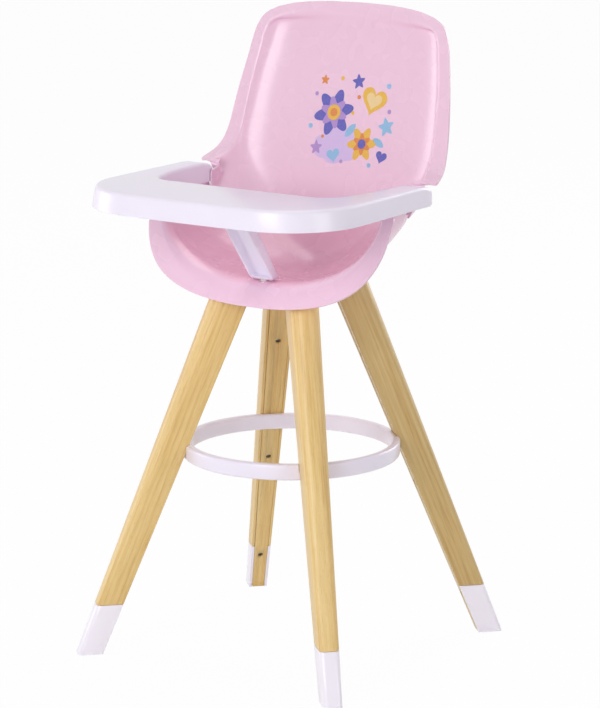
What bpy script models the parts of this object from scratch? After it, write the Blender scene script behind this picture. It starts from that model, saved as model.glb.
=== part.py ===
"""Doll high chair: moulded bucket seat on four splayed legs, with a footrest ring and a flip-up tray.

Metres, +Z up, the chair faces -Y and stands on Z = 0. Sizes are named here and the rest follows from them.
"""

import math

import bmesh
import bpy
from mathutils import Matrix, Vector

# Fits that all pieces share
GAP = 0.0003
OVERLAP = 0.001
REACH = 0.030

# Moulded wall of the seat
SHELL_WALL = 0.0025

# Legs: centres on the diagonals, sizes at the floor and at the hip
FOOT_RADIUS = 0.2203
LEG_LEAN = 0.400
HIP_Z = 0.378
LEG_TOP = 0.3985
FOOT_DEPTH = 0.0269
HIP_DEPTH = 0.0398
FOOT_WIDTH = 0.0200
HIP_WIDTH = 0.0310
FOOT_CORNER = 0.0050
HIP_CORNER = 0.0145
LEG_WALL = 0.0030
COVER_THICKNESS = 0.0025
TIP_HEIGHT = 0.0540
TIP_SOLE = 0.0030
LEG_SCREW_Z = (0.042, 0.171, 0.3155, 0.3855)
LEG_COUNT = 4
QUARTER = math.pi / 2
FIRST_TURN = -QUARTER / 2

# Screws and the cups and bosses they sit in
SCREW_HEAD_RADIUS = 0.0028
SCREW_HEAD_HEIGHT = 0.0017
HEAD_FLAT_SHARE = 0.72
HEAD_RIM_SHARE = 0.55
SCREW_SHANK_RADIUS = 0.0013
SCREW_LENGTH = 0.0120
POST_SCREW_LENGTH = 0.0092
SCREW_POINT = 0.0016
CUP_DEPTH = 0.0058
CUP_FLOOR = 0.0016
CUP_WALL = 0.0014
CUP_CLEARANCE = 0.0006
BOSS_RADIUS = 0.0044
DRIVE_LENGTH = 0.0034
DRIVE_WIDTH = 0.0008
DRIVE_DEPTH = 0.0008

# Plugs moulded under the seat, which enter the open leg tops
PLUG_DEPTH = 0.0200
PLUG_WIDTH = 0.0200
PLUG_CORNER = 0.0040
PLUG_BOTTOM = 0.3740
PLUG_TOP_SHARES = (0, 0.35, 0.7)

# Footrest ring
RING_RADIUS = 0.1165
RING_THICKNESS = 0.0090
RING_HEIGHT = 0.0170
RING_Z = 0.2180
RING_EDGE = 0.0030
RING_EDGE_SHARE = 0.3
RING_STEPS = 52
PEG_RADIUS = 0.0030

# Tray
TRAY_TOP = 0.5100
TRAY_SKIRT = 0.4880
TRAY_HALF_WIDTH = 0.1534
TRAY_FRONT = 0.1900
TRAY_BOW = 0.0080
TRAY_CORNER = 0.0770
TRAY_FLARE = 0.0035
MITRE_LIMIT = 0.5
EDGE_FADE_SHARE = 0.75
TRAY_WALL = 0.0025
TRAY_EDGE = 0.0038
ARM_EDGE = 0.0085
TRAY_UNDER_EDGE = 0.0006
ARM_UNDER_EDGE = 0.0045
ARM_DROP = 0.0045
ARM_DROP_LENGTH = 0.0300
ARM_END = 0.0437
ARM_INNER_END = 0.1265
OPENING_FRONT = 0.0930
OPENING_CORNER = 0.0280
OPENING_SIDE = ((0.1262, 0.0080), (0.1255, -0.0170), (0.1228, -0.0400), (0.1200, -0.0550))
OPENING_CORNER_X = 0.1165

# Tray hinge
PIVOT_Y = 0.0287
PIVOT_Z = 0.4965
EAR_RADIUS = 0.0064
EAR_X = (0.1299, 0.1380)
BRACKET_HALF = 0.0045
BRACKET_LEVELS = (
    (0.4742, (0.1283, 0.1235), (0.1315, 0.1271)), (0.4797, (0.1309, 0.1273), (0.1347, 0.1327)),
    (0.4877, (0.1303, 0.1303), (0.1373, 0.1373)), (0.4965, (0.1303, 0.1303), (0.1374, 0.1374)),
)
ARM_CLEARANCE_X = 0.1296
PIVOT_RADIUS = 0.0029
WALL_UNDER_ARM = 0.4905
WALL_UNDER_SWING = 0.4804
WALL_FRONT_Y = -0.0360
SWING_REACH = 0.0164
WALL_STEP_Y = 0.0447
SLOT_X = (0.1296, 0.1388)
SLOT_Y = 0.0339
SLOT_TOP = 0.5017

# Crotch post: foot and lean of its front rim, widths and depths at foot and head
POST_FOOT = (-0.0534, 0.4078)
POST_LEAN = math.radians(37.5)
POST_HEAD_Z = 0.4977
POST_WIDTH = 0.0300
POST_DEPTH = (0.0100, 0.0115)
POST_BULGE = 0.0028
POST_CORNER = 0.0042
POST_FOOT_SHARES = (0, 0.12, 0.4, 1)
POST_WALL = 0.0024
POST_PLATE = 0.0024
POST_PLATE_HALF = 0.0270
POST_PLATE_FRONT = -0.1500
POST_PLATE_BACK = -0.1020
POST_SCREW_X = 0.0170
POST_SCREW_Y = -0.1400
POST_TAB = (0.0036, 0.0030, 0.0022)
SEAT_SLOT = (0.0042, -0.0570, -0.0476)

# Seat shell: the leaning plane of the front flange and the corner line between seat and flange
LIP_PLANE = (-0.0505, 0.453, 0.420)
MOUTH_HALF_WIDTH = 0.1365
MOUTH_TOP = 0.4868
MOUTH_DEPTH = 0.0800
MOUTH_POWER = 2.2
LIP_EDGE = (
    (0.0000, 0.3832), (0.0267, 0.3838), (0.0534, 0.3862), (0.0840, 0.3919), (0.1093, 0.4016),
    (0.1250, 0.4118), (0.1371, 0.4251), (0.1450, 0.4400), (0.1495, 0.4560), (0.1519, 0.4865),
)
# Rows of the wall from the front lip over the seat and up the back: centre (y, z), section power
CENTRE_ROWS = (
    (-0.0480, 0.4066, 2.15), (-0.0230, 0.4046, 2.10), (0.0030, 0.4040, 1.90), (0.0220, 0.4046, 1.60),
    (0.0350, 0.4062, 1.42), (0.0460, 0.4095, 1.38), (0.0560, 0.4160, 1.40), (0.0635, 0.4250, 1.50),
    (0.0710, 0.4395, 1.68), (0.0790, 0.4620, 1.95), (0.0890, 0.4980, 2.25), (0.0975, 0.5290, 2.50),
    (0.1050, 0.5560, 2.70), (0.1115, 0.5800, 2.80), (0.1175, 0.6020, 2.90), (0.1228, 0.6215, 3.00),
    (0.1266, 0.6370, 3.05), (0.1288, 0.6490, 3.05), (0.1300, 0.6565, 3.00),
)
# Top of the wall under the arms, then the turned-out rim up to the top corner: outer edge and width
ARM_WALL_TOP = ((0.1357, -0.0330, 0.4878), (0.1356, -0.0100, 0.4925), (0.1356, 0.0150, 0.4960),
                (0.1358, 0.0330, 0.5020))
RIM_EDGE = (
    (0.1500, 0.0458, 0.5088), (0.1490, 0.0540, 0.5124), (0.1468, 0.0640, 0.5166), (0.1443, 0.0720, 0.5222),
    (0.1418, 0.0790, 0.5312), (0.1393, 0.0862, 0.5469), (0.1363, 0.0932, 0.5727), (0.1332, 0.0988, 0.5925),
    (0.1302, 0.1032, 0.6090), (0.1273, 0.1072, 0.6245), (0.1248, 0.1098, 0.6375), (0.1222, 0.1123, 0.6478),
    (0.1189, 0.1147, 0.6558), (0.1150, 0.1168, 0.6614), (0.1092, 0.1190, 0.6662), (0.0980, 0.1222, 0.6712),
)
RIM_WIDTHS = (0.0142, 0.0168, 0.0188, 0.0190, 0.0180, 0.0165, 0.0150, 0.0140, 0.0134)
TOP_EDGE = (
    (0.0980, 0.1222, 0.6712), (0.0750, 0.1270, 0.6762), (0.0400, 0.1308, 0.6792), (0.0, 0.1320, 0.6800),
)
RIM_WIDTH = 0.0130
RIM_FILLET = 0.0045
BACK_RECLINE = math.radians(14.6)
LIP_FILLET_SHARE = (0.95, 0.28)
CORNER_TURN = 4
LAST_ROW_SHARE = 0.75
COLUMNS = 13
BEND_STEPS = 3
LIP_STEPS = 5
NOSE_STEPS = 10
CORNER_STEPS = 10
EDGE_STEPS = 3
ROUND_STEPS = 16

FOOT_REACH = (FOOT_RADIUS + FOOT_DEPTH / 2 + FOOT_WIDTH / 2 - FOOT_CORNER * 2) / math.sqrt(2) + FOOT_CORNER
FRAME_Y = (TRAY_FRONT + TRAY_FLARE - FOOT_REACH) / 2

FINISHES = {
    "shell": ((0.84, 0.58, 0.72), 0.35),
    "tray": ((0.85, 0.80, 0.90), 0.38),
    "wood": ((0.68, 0.45, 0.19), 0.45),
    "steel": ((0.30, 0.29, 0.28), 0.30),
}


def clear_scene():
    """Empties the scene and makes the collections for parts and cutters."""
    for obj in list(bpy.data.objects):
        bpy.data.objects.remove(obj, do_unlink=True)
    parts = bpy.data.collections.new("doll_high_chair")
    cutters = bpy.data.collections.new("cutters")
    for collection in (parts, cutters):
        bpy.context.scene.collection.children.link(collection)
    return parts, cutters


def lerp(start, end, share):
    """The value that lies this share of the way from start to end."""
    return start + (end - start) * share


def ease(share):
    """Smooth step of a share held between 0 and 1."""
    held = min(max(share, 0), 1)
    return held * held * (3 - 2 * held)


def make_mesh(name, points, faces, inside=None):
    """A mesh with its faces turned the same way, outward for a closed one."""
    mesh = bpy.data.meshes.new(name)
    mesh.from_pydata([tuple(point) for point in points], [], faces)
    work = bmesh.new()
    work.from_mesh(mesh)
    bmesh.ops.recalc_face_normals(work, faces=work.faces)
    if inside is not None:
        nearest = min(work.faces, key=lambda face: (face.calc_center_median() - Vector(inside)).length)
        if nearest.normal.z < 0:
            bmesh.ops.reverse_faces(work, faces=work.faces)
    work.to_mesh(mesh)
    work.free()
    return mesh


def loft_mesh(name, rings, cap=None):
    """Closed solid through rings of equal count, capped by one flat face or by the faces given."""
    count = len(rings[0])
    points = [point for ring in rings for point in ring]
    cap = cap or [tuple(range(count))]
    faces = list(cap)
    for ring in range(len(rings) - 1):
        low = ring * count
        for step in range(count):
            following = (step + 1) % count
            faces.append((low + step, low + following, low + count + following, low + count + step))
    last = (len(rings) - 1) * count
    faces += [tuple(last + corner for corner in face) for face in cap]
    return make_mesh(name, points, faces)


def box_mesh(name, low, high):
    """Box between two corners."""
    (x0, y0, z0), (x1, y1, z1) = low, high
    return loft_mesh(name, [[(x0, y0, z), (x1, y0, z), (x1, y1, z), (x0, y1, z)] for z in (z0, z1)])


def turned_mesh(name, start, direction, profile, steps=ROUND_STEPS):
    """Solid turned about an axis, from (distance along, radius) pairs."""
    axis = Vector(direction).normalized()
    side = axis.orthogonal().normalized()
    other = axis.cross(side)
    rings = []
    for along, radius in profile:
        centre = Vector(start) + axis * along
        angles = [2 * math.pi * step / steps for step in range(steps)]
        rings.append([centre + (side * math.cos(a) + other * math.sin(a)) * radius for a in angles])
    return loft_mesh(name, rings)


def rod_mesh(name, start, end, radius, steps=ROUND_STEPS):
    """Plain cylinder between two points."""
    span = Vector(end) - Vector(start)
    return turned_mesh(name, start, span, ((0, radius), (span.length, radius)), steps)


def joined(meshes):
    """One mesh of several separate solids."""
    work = bmesh.new()
    for mesh in meshes:
        work.from_mesh(mesh)
    bmesh.ops.triangulate(work, faces=work.faces)
    mesh = bpy.data.meshes.new(meshes[0].name)
    work.to_mesh(mesh)
    work.free()
    return mesh


def both_sides(make):
    """One mesh of the solids that a function makes for the left and for the right."""
    return joined([make(side) for side in (-1, 1)])


def side_box(side, name, low, high):
    """Box between two corners on the right, or its mirror image on the left."""
    near, far = sorted((side * low[0], side * high[0]))
    return box_mesh(name, (near, *low[1:]), (far, *high[1:]))


def add_object(name, mesh, collection):
    """Links a new object for this mesh."""
    obj = bpy.data.objects.new(name, mesh)
    collection.objects.link(obj)
    return obj


def combine(obj, mesh, operation, cutters):
    """Joins or cuts a solid with an exact Boolean, and keeps the helper out of the render."""
    helper = add_object(obj.name + "_" + mesh.name, mesh, cutters)
    helper.hide_render = True
    helper.display_type = "WIRE"
    boolean = obj.modifiers.new(mesh.name, "BOOLEAN")
    boolean.operation = operation
    boolean.solver = "EXACT"
    boolean.object = helper
    return helper


def bake(obj, cutters):
    """Mesh with the modifiers applied, so that equal pieces share it."""
    bpy.context.view_layer.update()
    graph = bpy.context.evaluated_depsgraph_get()
    mesh = bpy.data.meshes.new_from_object(obj.evaluated_get(graph))
    helpers = [modifier.object for modifier in obj.modifiers if modifier.type == "BOOLEAN"]
    for helper in helpers + [obj]:
        bpy.data.objects.remove(helper, do_unlink=True)
    return mesh


def place(obj, pivot=(0, 0, 0), turn=0):
    """Moves a piece built in the chair frame so that its origin lies on the pivot."""
    move = Matrix.Translation(-Vector(pivot))
    obj.data.transform(move)
    for modifier in obj.modifiers:
        if modifier.type == "BOOLEAN":
            modifier.object.data.transform(move)
            modifier.object.location = Vector(pivot) + Vector((0, FRAME_Y, 0))
    obj.location = Vector(pivot) + Vector((0, FRAME_Y, 0))
    obj.rotation_euler.z = turn


def finish(obj, look):
    """Gives a piece its own material."""
    colour, roughness = FINISHES[look]
    material = bpy.data.materials.new(obj.name)
    material.use_nodes = True
    shader = material.node_tree.nodes["Principled BSDF"]
    shader.inputs["Base Color"].default_value = (*colour, 1)
    shader.inputs["Roughness"].default_value = roughness
    if look == "steel":
        shader.inputs["Metallic"].default_value = 1
    material.diffuse_color = (*colour, 1)
    if obj.data.materials:
        obj.data.materials.clear()
    obj.data.materials.append(material)


# Legs, drawn with X outward along the diagonal and Y across


def leg_sizes(z):
    """Centre radius, depth, width and corner radius of a leg at this height."""
    share = z / HIP_Z
    return (
        FOOT_RADIUS - LEG_LEAN * z,
        lerp(FOOT_DEPTH, HIP_DEPTH, share),
        lerp(FOOT_WIDTH, HIP_WIDTH, share),
        lerp(FOOT_CORNER, HIP_CORNER, share),
    )


def inner_face(z):
    """Radius of the flat inner face at this height."""
    radius, depth, _, _ = leg_sizes(z)
    return radius - depth / 2


FACE_LEAN = math.atan((inner_face(0) - inner_face(HIP_Z)) / HIP_Z)
FACE_NORMAL = Vector((math.cos(FACE_LEAN), 0, math.sin(FACE_LEAN)))


def leg_ring(z, inset=0, inward=0):
    """Flat-backed round-fronted section, optionally inset, with its back pushed inward."""
    radius, depth, width, corner = leg_sizes(z)
    back = radius - depth / 2 + inset - inward
    front = radius + depth / 2 - inset
    half = width / 2 - inset
    bend = max(corner - inset, OVERLAP)
    right = []
    for step in range(EDGE_STEPS * 2 + 1):
        angle = QUARTER * (1 - step / (EDGE_STEPS * 2))
        right.append((front - bend + bend * math.cos(angle), half - bend + bend * math.sin(angle), z))
    left = [(x, -y, height) for x, y, height in reversed(right)]
    return [(back, half, z)] + right + left + [(back, -half, z)]


def strip_ring(z, side, start, end):
    """Rectangle across the leg, from one depth behind the inner face to another."""
    _, _, width, _ = leg_sizes(z)
    half = width / 2 - side
    face = inner_face(z)
    near = face + start
    far = face + end
    return [(near, -half, z), (far, -half, z), (far, half, z), (near, half, z)]


def plug_ring(z):
    """Rounded rectangle of a plug, which follows the lean of the leg."""
    radius = leg_sizes(z)[0]
    half_depth = PLUG_DEPTH / 2
    half_width = PLUG_WIDTH / 2
    ring = []
    for turn in range(LEG_COUNT):
        along = 1 if turn in (0, 3) else -1
        across = 1 if turn in (0, 1) else -1
        for step in range(EDGE_STEPS + 1):
            angle = QUARTER * (turn + step / EDGE_STEPS)
            x = radius + along * (half_depth - PLUG_CORNER) + PLUG_CORNER * math.cos(angle)
            y = across * (half_width - PLUG_CORNER) + PLUG_CORNER * math.sin(angle)
            ring.append((x, y, z))
    return ring


def on_face(z, depth):
    """Point on the leg's mid line, this far behind the inner face and square to it."""
    return Vector((inner_face(z), 0, z)) + FACE_NORMAL * depth


def leg_depth(z):
    """Depth of the leg square to its inner face."""
    return leg_sizes(z)[1] * math.cos(FACE_LEAN)


def add_boss(obj, z, cutters):
    """Screw boss from the outer wall to the cup of the cover."""
    end = leg_depth(z) - LEG_WALL / 2
    boss = rod_mesh("boss", on_face(z, CUP_DEPTH + GAP), on_face(z, end), BOSS_RADIUS)
    combine(obj, boss, "UNION", cutters)
    ends = [on_face(z, depth) for depth in (CUP_DEPTH / 2, CUP_DEPTH + SCREW_LENGTH)]
    hole = rod_mesh("pilot", *ends, SCREW_SHANK_RADIUS + GAP, EDGE_STEPS * 4)
    combine(obj, hole, "DIFFERENCE", cutters)


def casing_mesh(parts, cutters):
    """Round-fronted upper leg, hollow, open to the inside and at the top."""
    start = TIP_HEIGHT + GAP
    casing = add_object("casing", loft_mesh("casing", [leg_ring(start), leg_ring(LEG_TOP)]), parts)
    hollow = [leg_ring(z, LEG_WALL, REACH / 2) for z in (start - OVERLAP, LEG_TOP + OVERLAP)]
    combine(casing, loft_mesh("hollow", hollow), "DIFFERENCE", cutters)
    for z in LEG_SCREW_Z:
        if TIP_HEIGHT < z < PLUG_BOTTOM:
            add_boss(casing, z, cutters)
    return bake(casing, cutters)


def cover_mesh(parts, cutters):
    """Flat strip that closes the back of a leg, with a cup for each screw."""
    side = LEG_WALL + GAP
    rings = [strip_ring(z, side, 0, COVER_THICKNESS) for z in (GAP, TIP_HEIGHT, LEG_TOP)]
    cover = add_object("cover", loft_mesh("cover", rings), parts)
    cup_radius = SCREW_HEAD_RADIUS + CUP_CLEARANCE
    for z in LEG_SCREW_Z:
        outer = rod_mesh("cup", on_face(z, OVERLAP), on_face(z, CUP_DEPTH), cup_radius + CUP_WALL)
        combine(cover, outer, "UNION", cutters)
        ends = [on_face(z, -REACH / 2), on_face(z, CUP_DEPTH - CUP_FLOOR)]
        inner = rod_mesh("counterbore", *ends, cup_radius)
        combine(cover, inner, "DIFFERENCE", cutters)
        hole = rod_mesh(
            "clearance", on_face(z, OVERLAP), on_face(z, CUP_DEPTH + OVERLAP),
            SCREW_SHANK_RADIUS + GAP, EDGE_STEPS * 4,
        )
        combine(cover, hole, "DIFFERENCE", cutters)
    socket = rod_mesh("peg_hole", on_face(RING_Z, -REACH / 2), on_face(RING_Z, REACH / 2), PEG_RADIUS + GAP)
    combine(cover, socket, "DIFFERENCE", cutters)
    return bake(cover, cutters)


def tip_mesh(parts, cutters):
    """Foot tip that continues the leg, hollow behind the cover and closed by a sole."""
    above = TIP_HEIGHT + OVERLAP
    tip = add_object("tip", loft_mesh("tip", [leg_ring(0), leg_ring(above)]), parts)
    hollow = [leg_ring(z, LEG_WALL, REACH / 2) for z in (TIP_SOLE, above + OVERLAP)]
    combine(tip, loft_mesh("hollow", hollow), "DIFFERENCE", cutters)
    ends = (-OVERLAP, TIP_SOLE + GAP)
    slot = [strip_ring(z, LEG_WALL - GAP, -REACH / 3, COVER_THICKNESS + GAP) for z in ends]
    combine(tip, loft_mesh("strip_slot", slot), "DIFFERENCE", cutters)
    for z in LEG_SCREW_Z:
        if z < TIP_HEIGHT:
            add_boss(tip, z, cutters)
    trim = box_mesh("trim", (0, -REACH, TIP_HEIGHT), (FOOT_RADIUS + REACH, REACH, TIP_HEIGHT + REACH))
    combine(tip, trim, "DIFFERENCE", cutters)
    return bake(tip, cutters)


def screw_mesh(start, direction, length, parts, cutters):
    """Pan-head screw with a cross drive; the head's under side lies at the start."""
    head = (
        (-SCREW_HEAD_HEIGHT, SCREW_HEAD_RADIUS * HEAD_FLAT_SHARE),
        (-SCREW_HEAD_HEIGHT * HEAD_RIM_SHARE, SCREW_HEAD_RADIUS),
        (0, SCREW_HEAD_RADIUS), (0, SCREW_SHANK_RADIUS),
        (length - SCREW_POINT, SCREW_SHANK_RADIUS), (length, SCREW_SHANK_RADIUS / 4),
    )
    screw = add_object("screw", turned_mesh("screw", start, direction, head, EDGE_STEPS * 4), parts)
    axis = Vector(direction).normalized()
    side = axis.orthogonal().normalized()
    other = axis.cross(side)
    top = Vector(start) - axis * SCREW_HEAD_HEIGHT
    for long_way, short_way in ((side, other), (other, side)):
        rings = []
        for along in (-OVERLAP, DRIVE_DEPTH):
            centre = top + axis * along
            ends = long_way * (DRIVE_LENGTH / 2)
            edge = short_way * (DRIVE_WIDTH / 2)
            signs = ((1, 1), (-1, 1), (-1, -1), (1, -1))
            rings.append([centre + ends * one + edge * two for one, two in signs])
        combine(screw, loft_mesh("drive", rings), "DIFFERENCE", cutters)
    return bake(screw, cutters)


def build_legs(parts, cutters):
    """Four equal legs, each a casing, a cover, a tip and four screws, the top one into the seat's plug."""
    seat_at = CUP_DEPTH - CUP_FLOOR - GAP
    meshes = [("leg_casing", casing_mesh(parts, cutters), "wood")]
    meshes.append(("leg_cover", cover_mesh(parts, cutters), "wood"))
    meshes.append(("foot_tip", tip_mesh(parts, cutters), "tray"))
    for letter, z in zip("abcd", LEG_SCREW_Z):
        mesh = screw_mesh(on_face(z, seat_at), FACE_NORMAL, SCREW_LENGTH, parts, cutters)
        meshes.append((f"leg_screw_{letter}", mesh, "steel"))
    names = ("front_right", "rear_right", "rear_left", "front_left")
    for number, where in enumerate(names):
        for name, mesh, look in meshes:
            piece = add_object(f"{name}_{where}", mesh.copy(), parts)
            finish(piece, look)
            place(piece, turn=FIRST_TURN + QUARTER * number)


def diagonal(mesh, number):
    """Turns a mesh drawn along a leg onto one of the four diagonals."""
    mesh.transform(Matrix.Rotation(FIRST_TURN + QUARTER * number, 4, "Z"))
    return mesh


def build_ring(parts, cutters):
    """Round footrest, notched where it meets each leg and pegged into the covers."""
    inner = RING_RADIUS - RING_THICKNESS
    low = RING_Z - RING_HEIGHT / 2
    high = RING_Z + RING_HEIGHT / 2
    edge = RING_EDGE
    nip = edge * RING_EDGE_SHARE
    profile = [
        (inner + edge, high), (RING_RADIUS - edge, high), (RING_RADIUS - nip, high - nip),
        (RING_RADIUS, high - edge), (RING_RADIUS, low + edge), (RING_RADIUS - nip, low + nip),
        (RING_RADIUS - edge, low), (inner + edge, low), (inner + nip, low + nip),
        (inner, low + edge), (inner, high - edge), (inner + nip, high - nip),
    ]
    count = len(profile)
    mesh = bpy.data.meshes.new("ring")
    edges = [(step, (step + 1) % count) for step in range(count)]
    mesh.from_pydata([(x, 0, z) for x, z in profile], edges, [])
    ring = add_object("footrest_ring", mesh, parts)
    screw = ring.modifiers.new("turn", "SCREW")
    screw.steps = RING_STEPS
    screw.render_steps = RING_STEPS
    screw.use_merge_vertices = True
    screw.merge_threshold = GAP / 10
    for number in range(LEG_COUNT):
        half = leg_sizes(RING_Z)[2] / 2 + GAP * 2
        rings = []
        for rise in (-RING_HEIGHT, RING_HEIGHT):
            z = RING_Z + rise
            face = inner_face(z) - GAP / math.cos(FACE_LEAN)
            far = face + REACH
            rings.append([(face, -half, z), (far, -half, z), (far, half, z), (face, half, z)])
        combine(ring, diagonal(loft_mesh("notch", rings), number), "DIFFERENCE", cutters)
        peg = rod_mesh(
            "peg", on_face(RING_Z, -RING_THICKNESS / 3), on_face(RING_Z, COVER_THICKNESS - GAP), PEG_RADIUS,
            EDGE_STEPS * 4,
        )
        combine(ring, diagonal(peg, number), "UNION", cutters)
    finish(ring, "tray")
    place(ring)


# Tray


def arc_points(centre, radius, start, end, steps):
    """Points on an arc in plan, from one angle to the other."""
    angles = [math.radians(lerp(start, end, step / steps)) for step in range(steps + 1)]
    return [(centre[0] + radius * math.cos(a), centre[1] + radius * math.sin(a)) for a in angles]


def tray_half():
    """Right half of the tray's plan with, for each point, its share of flare and of the arm's end."""
    nose = (TRAY_HALF_WIDTH - ARM_INNER_END) / 2
    nose_y = ARM_END - nose
    corner_x = TRAY_HALF_WIDTH - TRAY_CORNER
    points = []
    for step in range(EDGE_STEPS + 1):
        x = corner_x * step / (EDGE_STEPS + 1)
        points.append((x, -TRAY_FRONT + TRAY_BOW * (x / TRAY_HALF_WIDTH) ** 2))
    corner_y = -TRAY_FRONT + TRAY_BOW * (corner_x / TRAY_HALF_WIDTH) ** 2 + TRAY_CORNER
    points += arc_points((corner_x, corner_y), TRAY_CORNER, -90, 0, CORNER_STEPS)
    for step in range(1, EDGE_STEPS + 2):
        points.append((TRAY_HALF_WIDTH, lerp(corner_y, nose_y, step / (EDGE_STEPS + 2))))
    points += arc_points((TRAY_HALF_WIDTH - nose, nose_y), nose, 0, 180, NOSE_STEPS)
    points += OPENING_SIDE
    centre = (OPENING_CORNER_X - OPENING_CORNER, -OPENING_FRONT + OPENING_CORNER)
    points += arc_points(centre, OPENING_CORNER, 0, -90, CORNER_STEPS // 2)
    points += [(centre[0] / 2, -OPENING_FRONT), (0, -OPENING_FRONT)]
    return points


def tray_cap(plan):
    """Triangles across the tray's band, zipped between its outer and its inner edge."""
    count = len(plan)
    tips = sorted(range(count), key=lambda number: plan[number][0].y)[-2:]
    right, left = min(tips), max(tips)
    outer = list(range(left, count)) + list(range(right + 1))
    inner = list(range(left, right - 1, -1))
    faces = []
    one = two = 0
    while one < len(outer) - 1 or two < len(inner) - 1:
        step_one = step_two = math.inf
        if one < len(outer) - 1:
            step_one = (plan[outer[one + 1]][0] - plan[inner[two]][0]).length
        if two < len(inner) - 1:
            step_two = (plan[outer[one]][0] - plan[inner[two + 1]][0]).length
        if step_one <= step_two:
            face = (outer[one], outer[one + 1], inner[two])
            one += 1
        else:
            face = (outer[one], inner[two + 1], inner[two])
            two += 1
        if len(set(face)) == len(face):
            faces.append(face)
    return faces


def tray_plan():
    """Closed plan of the tray, front centre first: point, outward normal, whether on the outer edge."""
    half = tray_half()
    tip = max(range(len(half)), key=lambda number: half[number][1])
    left = [(-x, y) for x, y in reversed(half) if x > 0]
    points = half + left
    count = len(points)
    plan = []
    for number, (x, y) in enumerate(points):
        before = Vector(points[number - 1])
        after = Vector(points[(number + 1) % count])
        here = Vector((x, y))
        one = (here - before).normalized()
        two = (after - here).normalized()
        along = (one + two).normalized()
        normal = Vector((along.y, -along.x))
        stretch = 1 / max(normal.dot(Vector((one.y, -one.x))), MITRE_LIMIT)
        plan.append((here, normal * stretch, number <= tip or number >= count - tip))
    return plan


def tray_ring(plan, inset, level, upper):
    """One ring of the tray. Level 0 to 1 runs through the rounding of the upper or the lower edge."""
    nose = (TRAY_HALF_WIDTH - ARM_INNER_END) / 2
    nose_y = ARM_END - nose
    ring = []
    for here, normal, outer in plan:
        end = min(max((here.y - nose_y) / nose, 0), 1)
        arm = ease((here.y - ARM_END + ARM_DROP_LENGTH) / ARM_DROP_LENGTH)
        fade = ease((nose_y - here.y) / (TRAY_FRONT * EDGE_FADE_SHARE))
        flare = TRAY_FLARE * fade if outer else OVERLAP / 2
        top = TRAY_TOP - inset - ARM_DROP * arm
        rounding = lerp(TRAY_EDGE, ARM_EDGE, end)
        under = lerp(TRAY_UNDER_EDGE, ARM_UNDER_EDGE, end)
        turn = QUARTER * level
        if upper:
            bend = max(rounding - inset, OVERLAP)
            z = top - bend * (1 - math.sin(turn))
            pull = inset + bend * (1 - math.cos(turn))
        else:
            bend = under
            z = TRAY_SKIRT + bend * (1 - math.cos(turn))
            pull = inset + bend * (1 - math.sin(turn))
            if inset:
                z -= OVERLAP * (1 - level)
        spread = flare * (top - z) / (TRAY_TOP - TRAY_SKIRT)
        spot = here + normal * (spread - pull)
        ring.append((spot.x, spot.y, z))
    return ring


def tray_solid(name, inset):
    """Tray outline as a solid, at full size or drawn in by the wall to make the hollow below."""
    plan = tray_plan()
    steps = EDGE_STEPS + 1
    rings = [tray_ring(plan, inset, step / steps, False) for step in range(steps + 1)]
    rings += [tray_ring(plan, inset, step / steps, True) for step in range(steps + 1)]
    if inset:
        rings.insert(0, [(x, y, TRAY_SKIRT - REACH / 3) for x, y, _ in rings[0]])
    return loft_mesh(name, rings, tray_cap(plan))


def pivot_rod(side, name, span, radius):
    """Rod on the pivot axis between two distances from the mid plane."""
    ends = [(side * x, PIVOT_Y, PIVOT_Z) for x in span]
    return rod_mesh(name, *ends, radius)


def post_boss(side, name, low, high, radius):
    """Upright rod over a screw of the crotch post."""
    spot = (side * POST_SCREW_X, POST_SCREW_Y)
    return rod_mesh(name, (*spot, low), (*spot, high), radius)


def build_tray(parts, cutters):
    """Flip-up tray with pivot pegs in its arms and bosses for the crotch post."""
    tray = add_object("tray", tray_solid("tray", 0), parts)
    tray.modifiers.new("flat_faces", "TRIANGULATE")
    combine(tray, joined([tray_solid("hollow", TRAY_WALL)]), "DIFFERENCE", cutters)
    ceiling = TRAY_TOP - TRAY_WALL / 2
    hole = SCREW_SHANK_RADIUS + GAP
    lift = POST_HEAD_Z + GAP
    bosses = both_sides(lambda side: post_boss(side, "boss", lift, ceiling, BOSS_RADIUS))
    combine(tray, bosses, "UNION", cutters)
    low = lift - OVERLAP
    high = ceiling - OVERLAP
    pilots = both_sides(lambda side: post_boss(side, "pilot", low, high, hole))
    combine(tray, pilots, "DIFFERENCE", cutters)
    span = (ARM_INNER_END + TRAY_WALL / 2, TRAY_HALF_WIDTH - TRAY_WALL / 2)
    pins = both_sides(lambda side: pivot_rod(side, "pivot_pin", span, PIVOT_RADIUS))
    combine(tray, pins, "UNION", cutters)
    low = (SLOT_X[0], SLOT_Y, TRAY_SKIRT - REACH / 2)
    high = (SLOT_X[1], ARM_END + REACH / 2, SLOT_TOP)
    slots = both_sides(lambda side: side_box(side, "slot", low, high))
    combine(tray, slots, "DIFFERENCE", cutters)
    finish(tray, "tray")
    place(tray, (0, PIVOT_Y, PIVOT_Z))


# Crotch post


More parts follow.
